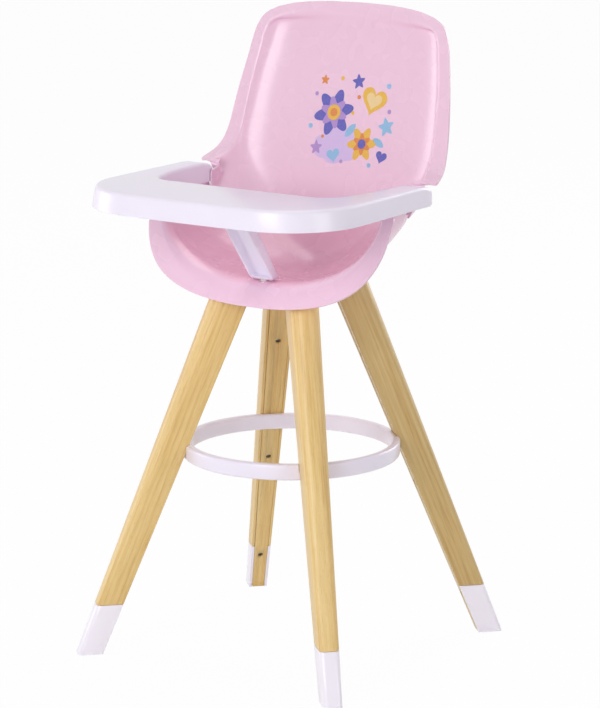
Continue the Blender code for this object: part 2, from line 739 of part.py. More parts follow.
def post_ring(z, inset, forward):
    """Rounded rectangle of the post at this height, optionally inset and open to the front."""
    foot_y, foot_z = POST_FOOT
    share = (z - foot_z) / (POST_HEAD_Z - foot_z)
    front = foot_y - (z - foot_z) * math.tan(POST_LEAN)
    bulge = POST_BULGE * math.sin(math.pi * min(max(share, 0), 1))
    depth = (lerp(*POST_DEPTH, share) + bulge) / math.cos(POST_LEAN)
    rise = min(max((z - foot_z - inset) / POST_CORNER, 0), 1)
    half = POST_WIDTH / 2 - inset - POST_CORNER * (1 - math.sqrt(1 - (1 - rise) ** 2))
    back = front + depth - inset
    corner = POST_WALL * 2 - inset
    right = [(half, front - forward, z)]
    for step in range(EDGE_STEPS + 1):
        angle = QUARTER * step / EDGE_STEPS
        x = half - corner + corner * math.cos(angle)
        right.append((x, back - corner + corner * math.sin(angle), z))
    return right + [(-x, y, height) for x, y, height in reversed(right)]


def post_rings(low, high, inset, forward):
    """Rings of the post, closer together where its lower corners round off."""
    levels = [low + POST_CORNER * share for share in POST_FOOT_SHARES]
    levels += [lerp(low + POST_CORNER, high, step / EDGE_STEPS) for step in range(1, EDGE_STEPS + 1)]
    return [post_ring(z, inset, forward) for z in levels]


def build_post(parts, cutters):
    """Channel-shaped crotch post, open to the front, with a plate that screws under the tray."""
    foot = POST_FOOT[1]
    post = add_object("crotch_post", loft_mesh("post", post_rings(foot, POST_HEAD_Z, 0, 0)), parts)
    plate = box_mesh(
        "plate", (-POST_PLATE_HALF, POST_PLATE_FRONT, POST_HEAD_Z - POST_PLATE),
        (POST_PLATE_HALF, POST_PLATE_BACK, POST_HEAD_Z),
    )
    combine(post, plate, "UNION", cutters)
    channel = post_rings(foot + POST_WALL, POST_HEAD_Z - POST_PLATE, POST_WALL, REACH)
    combine(post, loft_mesh("channel", channel), "DIFFERENCE", cutters)
    half_x, length, drop = POST_TAB
    tab_y = SEAT_SLOT[2] - GAP * 2
    tab = box_mesh("tab", (-half_x, tab_y - length, foot - drop), (half_x, tab_y, foot + POST_WALL / 2))
    combine(post, tab, "UNION", cutters)
    for side in (-1, 1):
        spot = (side * POST_SCREW_X, POST_SCREW_Y)
        hole = rod_mesh(
            "hole", (*spot, POST_HEAD_Z - REACH / 3), (*spot, POST_HEAD_Z + REACH / 3),
            SCREW_SHANK_RADIUS + GAP, EDGE_STEPS * 4,
        )
        combine(post, hole, "DIFFERENCE", cutters)
    finish(post, "tray")
    place(post, (0, PIVOT_Y, PIVOT_Z))
    for side, where in ((1, "right"), (-1, "left")):
        start = (side * POST_SCREW_X, POST_SCREW_Y, POST_HEAD_Z - POST_PLATE - GAP)
        mesh = screw_mesh(start, (0, 0, 1), POST_SCREW_LENGTH, parts, cutters)
        screw = add_object(f"post_screw_{where}", mesh, parts)
        finish(screw, "steel")
        place(screw, (0, PIVOT_Y, PIVOT_Z))


# Seat shell


def lip_y(z):
    """Y of the front flange's plane at this height."""
    y, height, slope = LIP_PLANE
    return y + slope * (z - height)


def along_path(path, share):
    """Point at this share of the length of a path."""
    points = [Vector(point) for point in path]
    lengths = [(two - one).length for one, two in zip(points, points[1:])]
    left = sum(lengths) * share
    for start, end, length in zip(points, points[1:], lengths):
        if left <= length:
            return start.lerp(end, left / length)
        left -= length
    return points[-1]


def smooth_path(path, steps):
    """Rounded path through the given points."""
    points = [Vector(point) for point in path]
    ends = [points[0] * 2 - points[1]] + points + [points[-1] * 2 - points[-2]]
    found = []
    for before, start, end, after in zip(ends, ends[1:], ends[2:], ends[3:]):
        for step in range(steps):
            t = step / steps
            linear = (end - before) * t
            square = (before * 2 - start * 5 + end * 4 - after) * t * t
            cube = (start * 3 - before - end * 3 + after) * t * t * t
            found.append(start + (linear + square + cube) / 2)
    return found + [points[-1]]


def column_shares():
    """Shares of the half width at which the wall's columns stand, closer toward the side."""
    return [math.sin(QUARTER * step / COLUMNS) for step in range(COLUMNS + 1)]


def section_rise(share, power):
    """Share of the way from centre to rim reached at this share of the half width."""
    return 1 - max(1 - share**power, 0) ** (1 / power)


def rim_flange():
    """Outer edge and outward direction of the turned-out rim, for its rows and then along the top."""
    rows = [Vector(point) for point in RIM_EDGE]
    top = [Vector(point) for point in smooth_path(TOP_EDGE, COLUMNS)]
    path = rows + top[1:]
    plane = Vector((0, -math.cos(BACK_RECLINE), math.sin(BACK_RECLINE)))
    directions = []
    lengths = [0]
    for one, two in zip(path, path[1:]):
        lengths.append(lengths[-1] + (two - one).length)
    for length in lengths:
        before = along_path(path, max(length - RIM_WIDTH / 2, 0) / lengths[-1])
        after = along_path(path, min((length + RIM_WIDTH / 2) / lengths[-1], 1))
        along = (after - before).normalized()
        flat = Vector((0, -along.z, along.y))
        weight = min(flat.length, 1) ** 2
        facing = plane.lerp(flat.normalized(), weight) if flat.length > 0 else plane
        out = along.cross(facing)
        if out.x + out.z < 0:
            out.negate()
        directions.append(out.normalized())
    return path, directions


def rim_width(index):
    """Width of the rim at this row, wider where it nears the arms."""
    return RIM_WIDTHS[index] if index < len(RIM_WIDTHS) else RIM_WIDTH


def wall_row(centre, rim, power):
    """Points of one wall row from the mid plane to the rim."""
    row = []
    for share in column_shares():
        rise = section_rise(share, power)
        y = lerp(centre[0], rim[1], rise)
        z = lerp(centre[1], rim[2], rise)
        row.append(Vector((rim[0] * share, y, z)))
    return row


def trimmed(row, length):
    """The row with its last point drawn back along the wall by a length."""
    points = list(row)
    left = length
    while (points[-1] - points[-2]).length < left and len(points) > 2:
        left -= (points[-1] - points[-2]).length
        points.pop()
    points[-1] = points[-1] + (points[-2] - points[-1]).normalized() * left
    spans = [0]
    for one, two in zip(row, row[1:]):
        spans.append(spans[-1] + (two - one).length)
    return [along_path(points, min(span / spans[-1], 1)) for span in spans]


def bend(start, corner, end, steps):
    """Points of a soft bend between two faces, without its start."""
    found = []
    for step in range(1, steps + 1):
        t = step / steps
        found.append(start * (1 - t) ** 2 + corner * (2 * t * (1 - t)) + end * t**2)
    return found


def shell_surface():
    """Half of the shell's inner face: points and quads, with flange and rim."""
    edge, outward = rim_flange()
    shares = column_shares()
    under_arm = len(ARM_WALL_TOP)
    rows = []
    corners = []
    for number, (y, z, power) in enumerate(CENTRE_ROWS):
        if number < under_arm:
            corner = Vector(ARM_WALL_TOP[number])
            rows.append(wall_row((y, z), corner, power))
        else:
            index = number - under_arm
            corner = edge[index] - outward[index] * rim_width(index)
            rows.append(trimmed(wall_row((y, z), corner, power), RIM_FILLET))
        corners.append(corner)

    corner_index = len(RIM_EDGE) - 1
    top_path = edge[corner_index:]
    top_ways = outward[corner_index:]
    half = top_path[0].x
    top_edge = []
    for share in shares:
        wanted = half * share
        number = min(range(len(top_path)), key=lambda item: abs(top_path[item].x - wanted))
        near = top_path[number]
        far = top_path[min(max(number + (1 if near.x > wanted else -1), 0), len(top_path) - 1)]
        mix = 0 if near.x == far.x else (near.x - wanted) / (near.x - far.x)
        point = near.lerp(far, min(max(mix, 0), 1))
        way = top_ways[number].copy()
        if share == 0:
            way.x = 0
            way.normalize()
        top_edge.append((point, way))
    top_corner = [point - way * RIM_WIDTH for point, way in top_edge]
    last = []
    for step, (corner, point) in enumerate(zip(top_corner, rows[-1])):
        inner = rows[-1][max(step - 1, 0)]
        back = point.lerp(inner, shares[step] ** CORNER_TURN) - corner
        last.append(corner + back.normalized() * min(RIM_FILLET, back.length * LAST_ROW_SHARE))
    rows.append(last)

    points = []
    faces = []

    def add(point):
        points.append(point)
        return len(points) - 1

    grid = [[add(point) for point in row] for row in rows]
    for low, high in zip(grid, grid[1:]):
        for step in range(COLUMNS):
            faces.append((low[step], low[step + 1], high[step + 1], high[step]))

    mouth = []
    for share in shares:
        z = MOUTH_TOP - MOUTH_DEPTH * max(1 - share**MOUTH_POWER, 0) ** (1 / MOUTH_POWER)
        mouth.append(Vector((MOUTH_HALF_WIDTH * share, lip_y(z), z)))
    lengths = [0]
    for one, two in zip(mouth, mouth[1:]):
        lengths.append(lengths[-1] + (two - one).length)
    lip = smooth_path([(x, lip_y(z), z) for x, z in LIP_EDGE], EDGE_STEPS)
    spokes = []
    for share, corner, length, foot in zip(shares, mouth, lengths, grid[0]):
        outer = along_path(lip, length / lengths[-1])
        end = corner.lerp(outer, lerp(*LIP_FILLET_SHARE, share))
        spoke = [foot] + [add(point) for point in bend(points[foot], corner, end, LIP_STEPS)]
        spokes.append(spoke + [add(outer)])
    for left, right in zip(spokes, spokes[1:]):
        for step in range(len(left) - 1):
            faces.append((left[step], left[step + 1], right[step + 1], right[step]))

    spokes = []
    for index in range(corner_index):
        foot = grid[under_arm + index][-1]
        start = corners[under_arm + index]
        end = start + outward[index] * RIM_FILLET
        spoke = [foot] + [add(point) for point in bend(points[foot], start, end, BEND_STEPS)]
        spokes.append(spoke + [add(edge[index])])
    for step in range(COLUMNS, -1, -1):
        foot = grid[-1][step]
        outer, way = top_edge[step]
        end = top_corner[step] + way * RIM_FILLET
        spoke = [foot] + [add(point) for point in bend(points[foot], top_corner[step], end, BEND_STEPS)]
        spokes.append(spoke + [add(outer)])
    for left, right in zip(spokes, spokes[1:]):
        for step in range(len(left) - 1):
            faces.append((left[step], left[step + 1], right[step + 1], right[step]))
    for point in points:
        if abs(point.x) < GAP / 10:
            point.x = 0
    return points, faces


def surface_height(points, faces, spot):
    """Height of the seat's inner face above a point in plan."""
    best = None
    for face in faces:
        corners = [points[index] for index in face]
        for one, two, three in ((0, 1, 2), (0, 2, 3)):
            a, b, c = corners[one], corners[two], corners[three]
            area = (b.x - a.x) * (c.y - a.y) - (c.x - a.x) * (b.y - a.y)
            if abs(area) < GAP * GAP / 1000:
                continue
            u = ((b.x - spot.x) * (c.y - spot.y) - (c.x - spot.x) * (b.y - spot.y)) / area
            v = ((c.x - spot.x) * (a.y - spot.y) - (a.x - spot.x) * (c.y - spot.y)) / area
            w = 1 - u - v
            if min(u, v, w) < -GAP:
                continue
            height = a.z * u + b.z * v + c.z * w
            best = height if best is None else min(best, height)
    return best


def plug_block(points, faces, number):
    """Solid of a leg plug, its top following the under side of the seat."""
    turn = Matrix.Rotation(FIRST_TURN + QUARTER * number, 4, "Z")
    foot = [turn @ Vector(point) for point in plug_ring(PLUG_BOTTOM)]
    top = [turn @ Vector(point) for point in plug_ring(LEG_TOP + SHELL_WALL)]
    centre = sum(top, Vector()) / len(top)
    rings = [foot]
    for share in PLUG_TOP_SHARES:
        ring = []
        for point in top:
            spot = point.lerp(centre, share)
            seen = Vector((abs(spot.x), spot.y, 0))
            height = surface_height(points, faces, seen)
            ring.append((spot.x, spot.y, height - SHELL_WALL / 2))
        rings.append(ring)
    return loft_mesh("plug", rings)


def bracket_block(side):
    """Arm that carries a pivot ear up from the wall's edge into the tray's arm."""
    sides = (PIVOT_Y - BRACKET_HALF, PIVOT_Y + BRACKET_HALF)
    rings = []
    for level, inner, outer in BRACKET_LEVELS:
        corners = ((inner[0], sides[0]), (outer[0], sides[0]), (outer[1], sides[1]), (inner[1], sides[1]))
        rings.append([(side * x, y, level) for x, y in corners])
    return loft_mesh("bracket", rings)


def add_ears(shell, cutters):
    """Steps in the wall's edge for the tray's arms, and an ear on a bracket in each."""
    swing_y = PIVOT_Y - SWING_REACH
    inside = EAR_X[0] - REACH / 2
    top = WALL_UNDER_ARM + REACH
    clear_y = BRACKET_HALF + OVERLAP
    cut = ("arm_cut", (inside, WALL_FRONT_Y, WALL_UNDER_ARM), (TRAY_HALF_WIDTH, swing_y + OVERLAP, top))
    combine(shell, both_sides(lambda side: side_box(side, *cut)), "DIFFERENCE", cutters)
    swing = ("swing_cut", (inside, swing_y, WALL_UNDER_SWING), (TRAY_HALF_WIDTH, WALL_STEP_Y, top))
    combine(shell, both_sides(lambda side: side_box(side, *swing)), "DIFFERENCE", cutters)
    combine(shell, both_sides(bracket_block), "UNION", cutters)
    low = (inside, PIVOT_Y - clear_y, WALL_UNDER_SWING + GAP)
    clearance = ("arm_clearance", low, (ARM_CLEARANCE_X, PIVOT_Y + clear_y, top))
    combine(shell, both_sides(lambda side: side_box(side, *clearance)), "DIFFERENCE", cutters)
    ears = both_sides(lambda side: pivot_rod(side, "ear", EAR_X, EAR_RADIUS))
    combine(shell, ears, "UNION", cutters)
    through = (inside, EAR_X[1] + REACH / 3)
    hole = PIVOT_RADIUS + GAP
    holes = both_sides(lambda side: pivot_rod(side, "pivot_hole", through, hole))
    combine(shell, holes, "DIFFERENCE", cutters)


def build_shell(parts, cutters):
    """Moulded bucket seat with its back, front flange, turned-out rim, leg plugs and tray ears."""
    points, faces = shell_surface()
    mesh = make_mesh("shell", points, faces, inside=(0, 0, CENTRE_ROWS[2][1]))
    shell = add_object("seat_shell", mesh, parts)
    mirror = shell.modifiers.new("mirror", "MIRROR")
    mirror.use_clip = True
    mirror.merge_threshold = GAP / 10
    solidify = shell.modifiers.new("wall", "SOLIDIFY")
    solidify.thickness = SHELL_WALL
    solidify.offset = -1
    solidify.use_even_offset = True
    shell.modifiers.new("flat_faces", "TRIANGULATE")
    plugs = [plug_block(points, faces, number) for number in range(LEG_COUNT)]
    combine(shell, joined(plugs), "UNION", cutters)
    ends = [on_face(LEG_SCREW_Z[-1], depth) for depth in (CUP_DEPTH, CUP_DEPTH + SCREW_LENGTH)]
    hole = rod_mesh("pilot", *ends, SCREW_SHANK_RADIUS + GAP, EDGE_STEPS * 4)
    holes = [diagonal(hole.copy(), number) for number in range(LEG_COUNT)]
    combine(shell, joined(holes), "DIFFERENCE", cutters)
    add_ears(shell, cutters)
    half_x, front, back = SEAT_SLOT
    slot = box_mesh("seat_slot", (-half_x, front, PLUG_BOTTOM), (half_x, back, POST_FOOT[1] + REACH / 3))
    combine(shell, joined([slot]), "DIFFERENCE", cutters)
    finish(shell, "shell")
    place(shell)


def main():
    """Builds every piece of the chair."""
    parts, cutters = clear_scene()
    build_shell(parts, cutters)
    build_tray(parts, cutters)
    build_post(parts, cutters)
    build_ring(parts, cutters)
    build_legs(parts, cutters)


main()
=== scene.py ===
"""Doll high chair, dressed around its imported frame: moulded shell, flip tray, wooden legs, ring and screws.

Metres, +Z up, the chair faces -Y. Shapes are drawn in the chair's own frame, with the middle of the legs at
Y = 0, and moved by FRAME_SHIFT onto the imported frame.
"""

from __future__ import annotations

import logging
import math
from collections.abc import Iterator, Sequence
from contextlib import contextmanager
from dataclasses import dataclass, field
from enum import Enum

import bmesh
import bpy
from mathutils import Matrix, Vector
from mathutils.bvhtree import BVHTree
from mathutils.geometry import delaunay_2d_cdt


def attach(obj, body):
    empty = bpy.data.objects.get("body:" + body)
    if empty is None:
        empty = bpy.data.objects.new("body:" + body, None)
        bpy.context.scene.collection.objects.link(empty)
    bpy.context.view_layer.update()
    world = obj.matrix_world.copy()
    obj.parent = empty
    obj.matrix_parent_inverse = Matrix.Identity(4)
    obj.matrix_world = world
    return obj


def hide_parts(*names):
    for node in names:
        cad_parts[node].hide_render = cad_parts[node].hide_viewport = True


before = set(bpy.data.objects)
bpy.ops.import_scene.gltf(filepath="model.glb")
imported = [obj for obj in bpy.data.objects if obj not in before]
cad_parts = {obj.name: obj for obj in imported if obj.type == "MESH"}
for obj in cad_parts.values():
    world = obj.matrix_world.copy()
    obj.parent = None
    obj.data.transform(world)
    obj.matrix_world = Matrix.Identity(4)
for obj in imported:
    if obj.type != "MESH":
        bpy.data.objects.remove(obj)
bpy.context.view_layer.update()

Point = Sequence[float]
Face = Sequence[int]
Pair = tuple[float, float]
Triple = tuple[float, float, float]
Solid = tuple[list, list]
PlanPoint = tuple[Vector, Vector, bool]
Piece = bpy.types.Object
Material = bpy.types.Material
Node = bpy.types.Node
Socket = bpy.types.NodeSocket

LOG = logging.getLogger("doll_high_chair")
QUARTER = math.pi / 2
SIDES = (1, -1)
FRAME_SHIFT = Vector((0, 0.0116069, 0))
LEG_NAMES = ("front_right", "rear_right", "rear_left", "front_left")
LEG_LEAN = 0.400
FOOT_RADIUS = 0.2203
SAME_SPOT = 1e-6
ROD_EDGE_STEPS = 3
PER_METRE = 1000
HINGE: Pair = (0.0287, 0.4965)
POST_SCREW_SEAT: Triple = (0.0170, -0.1400, 0.4950)


class Body(Enum):
    """The two rigid bodies of the frame."""

    STAND = "stand"
    TRAY = "tray"


# Numbers and paths


def lerp(start: float, end: float, share: float) -> float:
    """Value at this share of the way from start to end."""
    return start + (end - start) * share


def ease(share: float) -> float:
    """Share with a soft start and a soft end, held between 0 and 1."""
    held = min(max(share, 0), 1)
    return held * held * (3 - 2 * held)


def leg_turn(number: int) -> float:
    """Angle of a leg's diagonal about the chair's middle."""
    return QUARTER * (number - 0.5)


def round_angles(count: int) -> list[float]:
    """Angles of evenly spread points round a circle."""
    return [math.tau * step / count for step in range(count)]


def lengths_along(path: Sequence[Vector]) -> list[float]:
    """Measures a path.

    Args:
        path: Its points.

    Returns:
        The distance from its start to each point.
    """
    found = [0.0]
    for one, two in zip(path, path[1:]):
        found.append(found[-1] + (two - one).length)
    return found


def along_path(path: Sequence[Vector], share: float) -> Vector:
    """Finds a point on a path.

    Args:
        path: Its points.
        share: Share of the path's length.

    Returns:
        The point at that share.
    """
    lengths = [(two - one).length for one, two in zip(path, path[1:])]
    left = sum(lengths) * share
    for start, end, length in zip(path, path[1:], lengths):
        if left <= length:
            return start.lerp(end, left / length)
        left -= length
    return path[-1].copy()


def spline(guides: Sequence[Vector], steps: int) -> list[Vector]:
    """Rounds a path with a Catmull-Rom curve.

    Args:
        guides: Its points, with one more before the first and after the last that only steer the ends.
        steps: Number of points on each stretch.

    Returns:
        The points of the rounded path.
    """
    found = []
    for before, start, end, after in zip(guides, guides[1:], guides[2:], guides[3:]):
        for step in range(steps):
            t = step / steps
            linear = (end - before) * t
            square = (before * 2 - start * 5 + end * 4 - after) * t * t
            cube = (start * 3 - before - end * 3 + after) * t * t * t
            found.append(start + (linear + square + cube) / 2)
    return [*found, guides[-2]]


def smooth_path(path: Sequence[Point], steps: int) -> list[Vector]:
    """Rounded path through the given points, with this number of points on each stretch."""
    points = [Vector(point) for point in path]
    return spline([points[0] * 2 - points[1], *points, points[-1] * 2 - points[-2]], steps)


def bend(start: Vector, corner: Vector, end: Vector, steps: int) -> list[Vector]:
    """Points of a soft bend between two faces, without its start."""
    shares = [step / steps for step in range(1, steps + 1)]
    return [start * (1 - t) ** 2 + corner * (2 * t * (1 - t)) + end * t**2 for t in shares]


# Node trees


class NodeBoard:
    """Adds and links the nodes of one tree."""

    def __init__(self, tree: bpy.types.NodeTree) -> None:
        """Keeps the tree that nodes are added to."""
        self.tree = tree

    def feed(self, node: Node, inputs: dict) -> None:
        """Links or sets the inputs of a node.

        Args:
            node: The node.
            inputs: Values or output sockets by input name or number.
        """
        for key, value in inputs.items():
            if isinstance(value, Socket):
                self.tree.links.new(value, node.inputs[key])
            else:
                node.inputs[key].default_value = value

    def add(self, kind: str, inputs: dict | None = None, **settings: object) -> Node:
        """Adds one node.

        Args:
            kind: Blender's type name of the node.
            inputs: Values or output sockets by input name or number.
            settings: Properties of the node itself.

        Returns:
            The new node.
        """
        node = self.tree.nodes.new(kind)
        for name, value in settings.items():
            setattr(node, name, value)
        self.feed(node, inputs or {})
        return node

    def math(self, operation: str, *values: object) -> Socket:
        """Adds a Math node and gives its output."""
        return self.add("ShaderNodeMath", dict(enumerate(values)), operation=operation).outputs[0]

    def vector(self, operation: str, *values: object) -> Sequence[Socket]:
        """Adds a Vector Math node and gives its outputs."""
        return self.add("ShaderNodeVectorMath", dict(enumerate(values)), operation=operation).outputs

    def place(self) -> Socket:
        """Adds the object's coordinates."""
        return self.add("ShaderNodeTexCoord").outputs["Object"]

    def mapped(self, spot: Socket, inputs: dict, kind: str = "POINT") -> Socket:
        """Adds a Mapping node of this kind and gives its output."""
        return self.add("ShaderNodeMapping", {"Vector": spot, **inputs}, vector_type=kind).outputs["Vector"]

    def noise(self, spot: Socket, scale: float, detail: float, more: dict | None = None) -> Socket:
        """Adds a noise texture and gives its factor."""
        inputs = {"Vector": spot, "Scale": scale, "Detail": detail, **(more or {})}
        return self.add("ShaderNodeTexNoise", inputs).outputs["Fac"]

    def ramp(self, factor: Socket, stops: Sequence[tuple]) -> Socket:
        """Adds a colour ramp.

        Args:
            factor: The value that picks the colour.
            stops: Pairs of position and colour.

        Returns:
            The colour output.
        """
        node = self.add("ShaderNodeValToRGB", {"Fac": factor})
        elements = node.color_ramp.elements
        while len(elements) < len(stops):
            elements.new(0.5)
        for element, (position, colour) in zip(elements, stops):
            element.position = position
            element.color = (*colour, 1)
        return node.outputs["Color"]

    def mix(self, share: Socket, one: Socket, two: Point) -> Socket:
        """Mixes a colour output with a fixed colour."""
        return self.add("ShaderNodeMix", {0: share, 6: one, 7: (*two, 1)}, data_type="RGBA").outputs[2]

    def span(self, value: Socket, low: float, high: float) -> Socket:
        """Maps a value of 0 to 1 onto another range."""
        inputs = {"Value": value, "To Min": low, "To Max": high}
        return self.add("ShaderNodeMapRange", inputs).outputs["Result"]

    def fade(self, value: Socket, start: float, end: float) -> Socket:
        """Maps a range of a value softly onto 0 to 1."""
        inputs = {"Value": value, "From Min": start, "From Max": end}
        return self.add("ShaderNodeMapRange", inputs, interpolation_type="SMOOTHSTEP").outputs["Result"]

    def bump(self, height: Socket, strength: float, distance: float) -> Socket:
        """Adds a bump of this strength and height and gives its normal."""
        inputs = {"Height": height, "Strength": strength, "Distance": distance}
        return self.add("ShaderNodeBump", inputs).outputs["Normal"]


class GeometryBoard(NodeBoard):
    """A Geometry Nodes tree with named inputs, which ends in real geometry with its material set."""

    def __init__(self, name: str, inputs: dict[str, str]) -> None:
        """Starts the tree.

        Args:
            name: Name of the tree.
            inputs: Kind of each input by its name.
        """
        super().__init__(bpy.data.node_groups.new(name, "GeometryNodeTree"))
        face = self.tree.interface
        face.new_socket("Geometry", in_out="INPUT", socket_type="NodeSocketGeometry")
        self.keys = {}
        for title, kind in inputs.items():
            socket = face.new_socket(title, in_out="INPUT", socket_type=f"NodeSocket{kind}")
            self.keys[title] = socket.identifier
        face.new_socket("Geometry", in_out="OUTPUT", socket_type="NodeSocketGeometry")
        self.given = self.add("NodeGroupInput").outputs

    def close(self, geometry: Socket, material: Material) -> None:
        """Ends the tree.

        Args:
            geometry: What the tree hands out, made real.
            material: The material that is set on it.
        """
        real = self.add("GeometryNodeRealizeInstances", {"Geometry": geometry})
        painted = self.add("GeometryNodeSetMaterial", {"Geometry": real.outputs[0], "Material": material})
        self.add("NodeGroupOutput", {"Geometry": painted.outputs[0]})

    def run(self, obj: Piece, values: dict[str, object]) -> None:
        """Runs the tree on an object and leaves plain mesh.

        Args:
            obj: The object.
            values: Values of the tree's inputs by name.
        """
        modifier = obj.modifiers.new(self.tree.name, "NODES")
        modifier.node_group = self.tree
        for title, value in values.items():
            modifier[self.keys[title]] = value
        settle(obj)


# Finishes


def blank_material(name: str) -> tuple[Material, NodeBoard, Node]:
    """Starts a material.

    Args:
        name: Name of the material.

    Returns:
        The material, a board for its tree and its Principled shader.
    """
    material = bpy.data.materials.new(name)
    material.use_nodes = True
    return material, NodeBoard(material.node_tree), material.node_tree.nodes["Principled BSDF"]


@dataclass(frozen=True)
class MouldedPlastic:
    """Satin moulded plastic with a fine grain and, if one is given, painted shade in the bucket: its inner
    wall is mixed toward a darker, deeper pink.
    """

    colour: Triple
    shade: Triple
    roughness: float = 0.27
    roughness_drift: Pair = (-0.010, 0.015)
    tone_stops: Pair = (0.45, 0.90)
    flow_scale: float = 9.0
    cloud_scale: float = 45.0
    cloud_share: float = 0.35
    grain_scale: float = 1500.0
    grain_strength: float = 0.25
    grain_height: float = 0.00001
    coat: float = 0.25
    coat_roughness: float = 0.12
    # Colour of the painted shade on the bucket's inner wall, or nothing for none.
    bucket_painted_shade: Triple | None = None
    bucket_middle: Triple = (0.0, 0.02, 0.47)
    facing_span: Pair = (0.1, 0.6)
    depth_span: Pair = (0.484, 0.440)

    def bucket_shade_share(self, board: NodeBoard) -> Socket:
        """Finds the bucket's inner wall by place and facing, where the painted shade goes.

        Args:
            board: Board of the material's tree.

        Returns:
            The share of painted shade: one on the inner wall, fading to nothing towards the mouth and the
                backrest.
        """
        coordinates = board.add("ShaderNodeTexCoord").outputs
        spot = coordinates["Object"]
        inward = board.vector("NORMALIZE", board.vector("SUBTRACT", self.bucket_middle, spot)[0])[0]
        facing = board.vector("DOT_PRODUCT", inward, coordinates["Normal"])["Value"]
        height = board.add("ShaderNodeSeparateXYZ", {"Vector": spot}).outputs["Z"]
        share = board.fade(facing, *self.facing_span)
        return board.math("MULTIPLY", share, board.fade(height, *self.depth_span))

    def material(self, name: str) -> Material:
        """Builds the node material.

        Args:
            name: Name of the material.

        Returns:
            The material.
        """
        material, board, shader = blank_material(name)
        spot = board.place()
        cloud = board.noise(spot, self.cloud_scale, detail=1.0)
        flow = board.noise(spot, self.flow_scale, detail=2.0)
        drift = board.math("MULTIPLY_ADD", cloud, self.cloud_share, flow)
        colour = board.ramp(drift, tuple(zip(self.tone_stops, (self.shade, self.colour))))
        # Painted shade: the bucket's inner wall is mixed toward a darker, deeper pink.
        if self.bucket_painted_shade:
            colour = board.mix(self.bucket_shade_share(board), colour, self.bucket_painted_shade)
        grain = board.noise(spot, self.grain_scale, detail=2.0)
        board.feed(shader, {
            "Base Color": colour,
            "Roughness": board.span(cloud, *(self.roughness + change for change in self.roughness_drift)),
            "Normal": board.bump(grain, self.grain_strength, self.grain_height),
            "Coat Weight": self.coat,
            "Coat Roughness": self.coat_roughness,
        })
        return material


@dataclass(frozen=True)
class VarnishedWood:
    """Clear-coated beech with long streaks, faint growth rings and short pores along the leg."""

    pale: Triple = (0.86, 0.640, 0.290)
    middle: Triple = (0.78, 0.535, 0.205)
    dark: Triple = (0.59, 0.350, 0.105)
    tone_stops: Triple = (0.36, 0.56, 0.76)
    # Painted shade: the rear right leg's wood is darker, as in the photograph, where that leg is in shade.
    leg_painted_shade: tuple[float, ...] = (1.0, 0.78, 1.0, 1.0)
    streak_scale: float = 620.0
    streak_stretch: float = 0.035
    streak_share: float = 0.62
    broad_scale: float = 95.0
    broad_share: float = 0.45
    ring_scale: float = 55.0
    ring_share: float = 0.09
    heart: Triple = (0.034, 0.012, 0.0)
    pore_scale: float = 1500.0
    pore_stretch: float = 0.09
    pore_level: float = 0.66
    pore_share: float = 0.35
    pore_depth: float = 0.6
    relief: float = 0.00012
    roughness: Pair = (0.36, 0.52)
    coat: float = 0.25
    coat_roughness: float = 0.28

    def figure(self, board: NodeBoard, number: int, shift: float) -> tuple[Socket, Socket, Socket]:
        """Draws the wood's figure along one leg.

        Args:
            board: Board of the material's tree.
            number: Number of the leg, which sets the way its grain runs.
            shift: Distance along the grain.

        Returns:
            The fine streaks, the whole figure and the pores.
        """
        turn = leg_turn(number)
        foot = Vector((FOOT_RADIUS * math.cos(turn), FOOT_RADIUS * math.sin(turn), 0)) + FRAME_SHIFT
        start = (foot.x, foot.y, foot.z - shift - number)
        placing = {"Location": start, "Rotation": (0, -math.atan(LEG_LEAN), turn)}
        along = board.mapped(board.place(), placing, "TEXTURE")
        drawn = board.mapped(along, {"Scale": (1, 1, self.streak_stretch)})
        streaks = board.noise(drawn, self.streak_scale, detail=6.0, more={"Roughness": 0.66})
        broad = board.noise(drawn, self.broad_scale, detail=3.0, more={"Distortion": 0.4})
        middle = board.mapped(drawn, {"Location": self.heart})
        waves = {"Distortion": 4.5, "Detail": 3.0, "Detail Scale": 1.6}
        waves.update({"Vector": middle, "Scale": self.ring_scale})
        rings = board.add("ShaderNodeTexWave", waves, wave_type="RINGS", rings_direction="Z").outputs["Fac"]
        short = board.mapped(along, {"Scale": (1, 1, self.pore_stretch)})
        dots = board.noise(short, self.pore_scale, detail=2.0)
        pores = board.math("GREATER_THAN", dots, self.pore_level)
        fine = board.math("MULTIPLY", streaks, self.streak_share)
        fine = board.math("MULTIPLY_ADD", rings, self.ring_share, fine)
        return streaks, board.math("MULTIPLY_ADD", broad, self.broad_share, fine), pores

    def material(self, name: str, number: int, shift: float = 0.0) -> Material:
        """Builds the wood of one leg.

        Args:
            name: Name of the material.
            number: Number of the leg.
            shift: Distance along the grain that sets one piece's figure off from another's.

        Returns:
            The material.
        """
        material, board, shader = blank_material(name)
        streaks, figure, pores = self.figure(board, number, shift)
        # Painted shade: the rear right leg's colours are darkened by this factor.
        tone = self.leg_painted_shade[number]
        tones = [tuple(tone * value for value in colour) for colour in (self.dark, self.middle, self.pale)]
        colour = board.ramp(figure, tuple(zip(self.tone_stops, tones)))
        height = board.math("MULTIPLY_ADD", pores, -self.pore_depth, streaks)
        board.feed(shader, {
            "Base Color": board.mix(board.math("MULTIPLY", pores, self.pore_share), colour, self.dark),
            "Roughness": board.span(streaks, *self.roughness),
            "Normal": board.bump(height, strength=0.5, distance=self.relief),
            "Coat Weight": self.coat,
            "Coat Roughness": self.coat_roughness,
        })
        return material


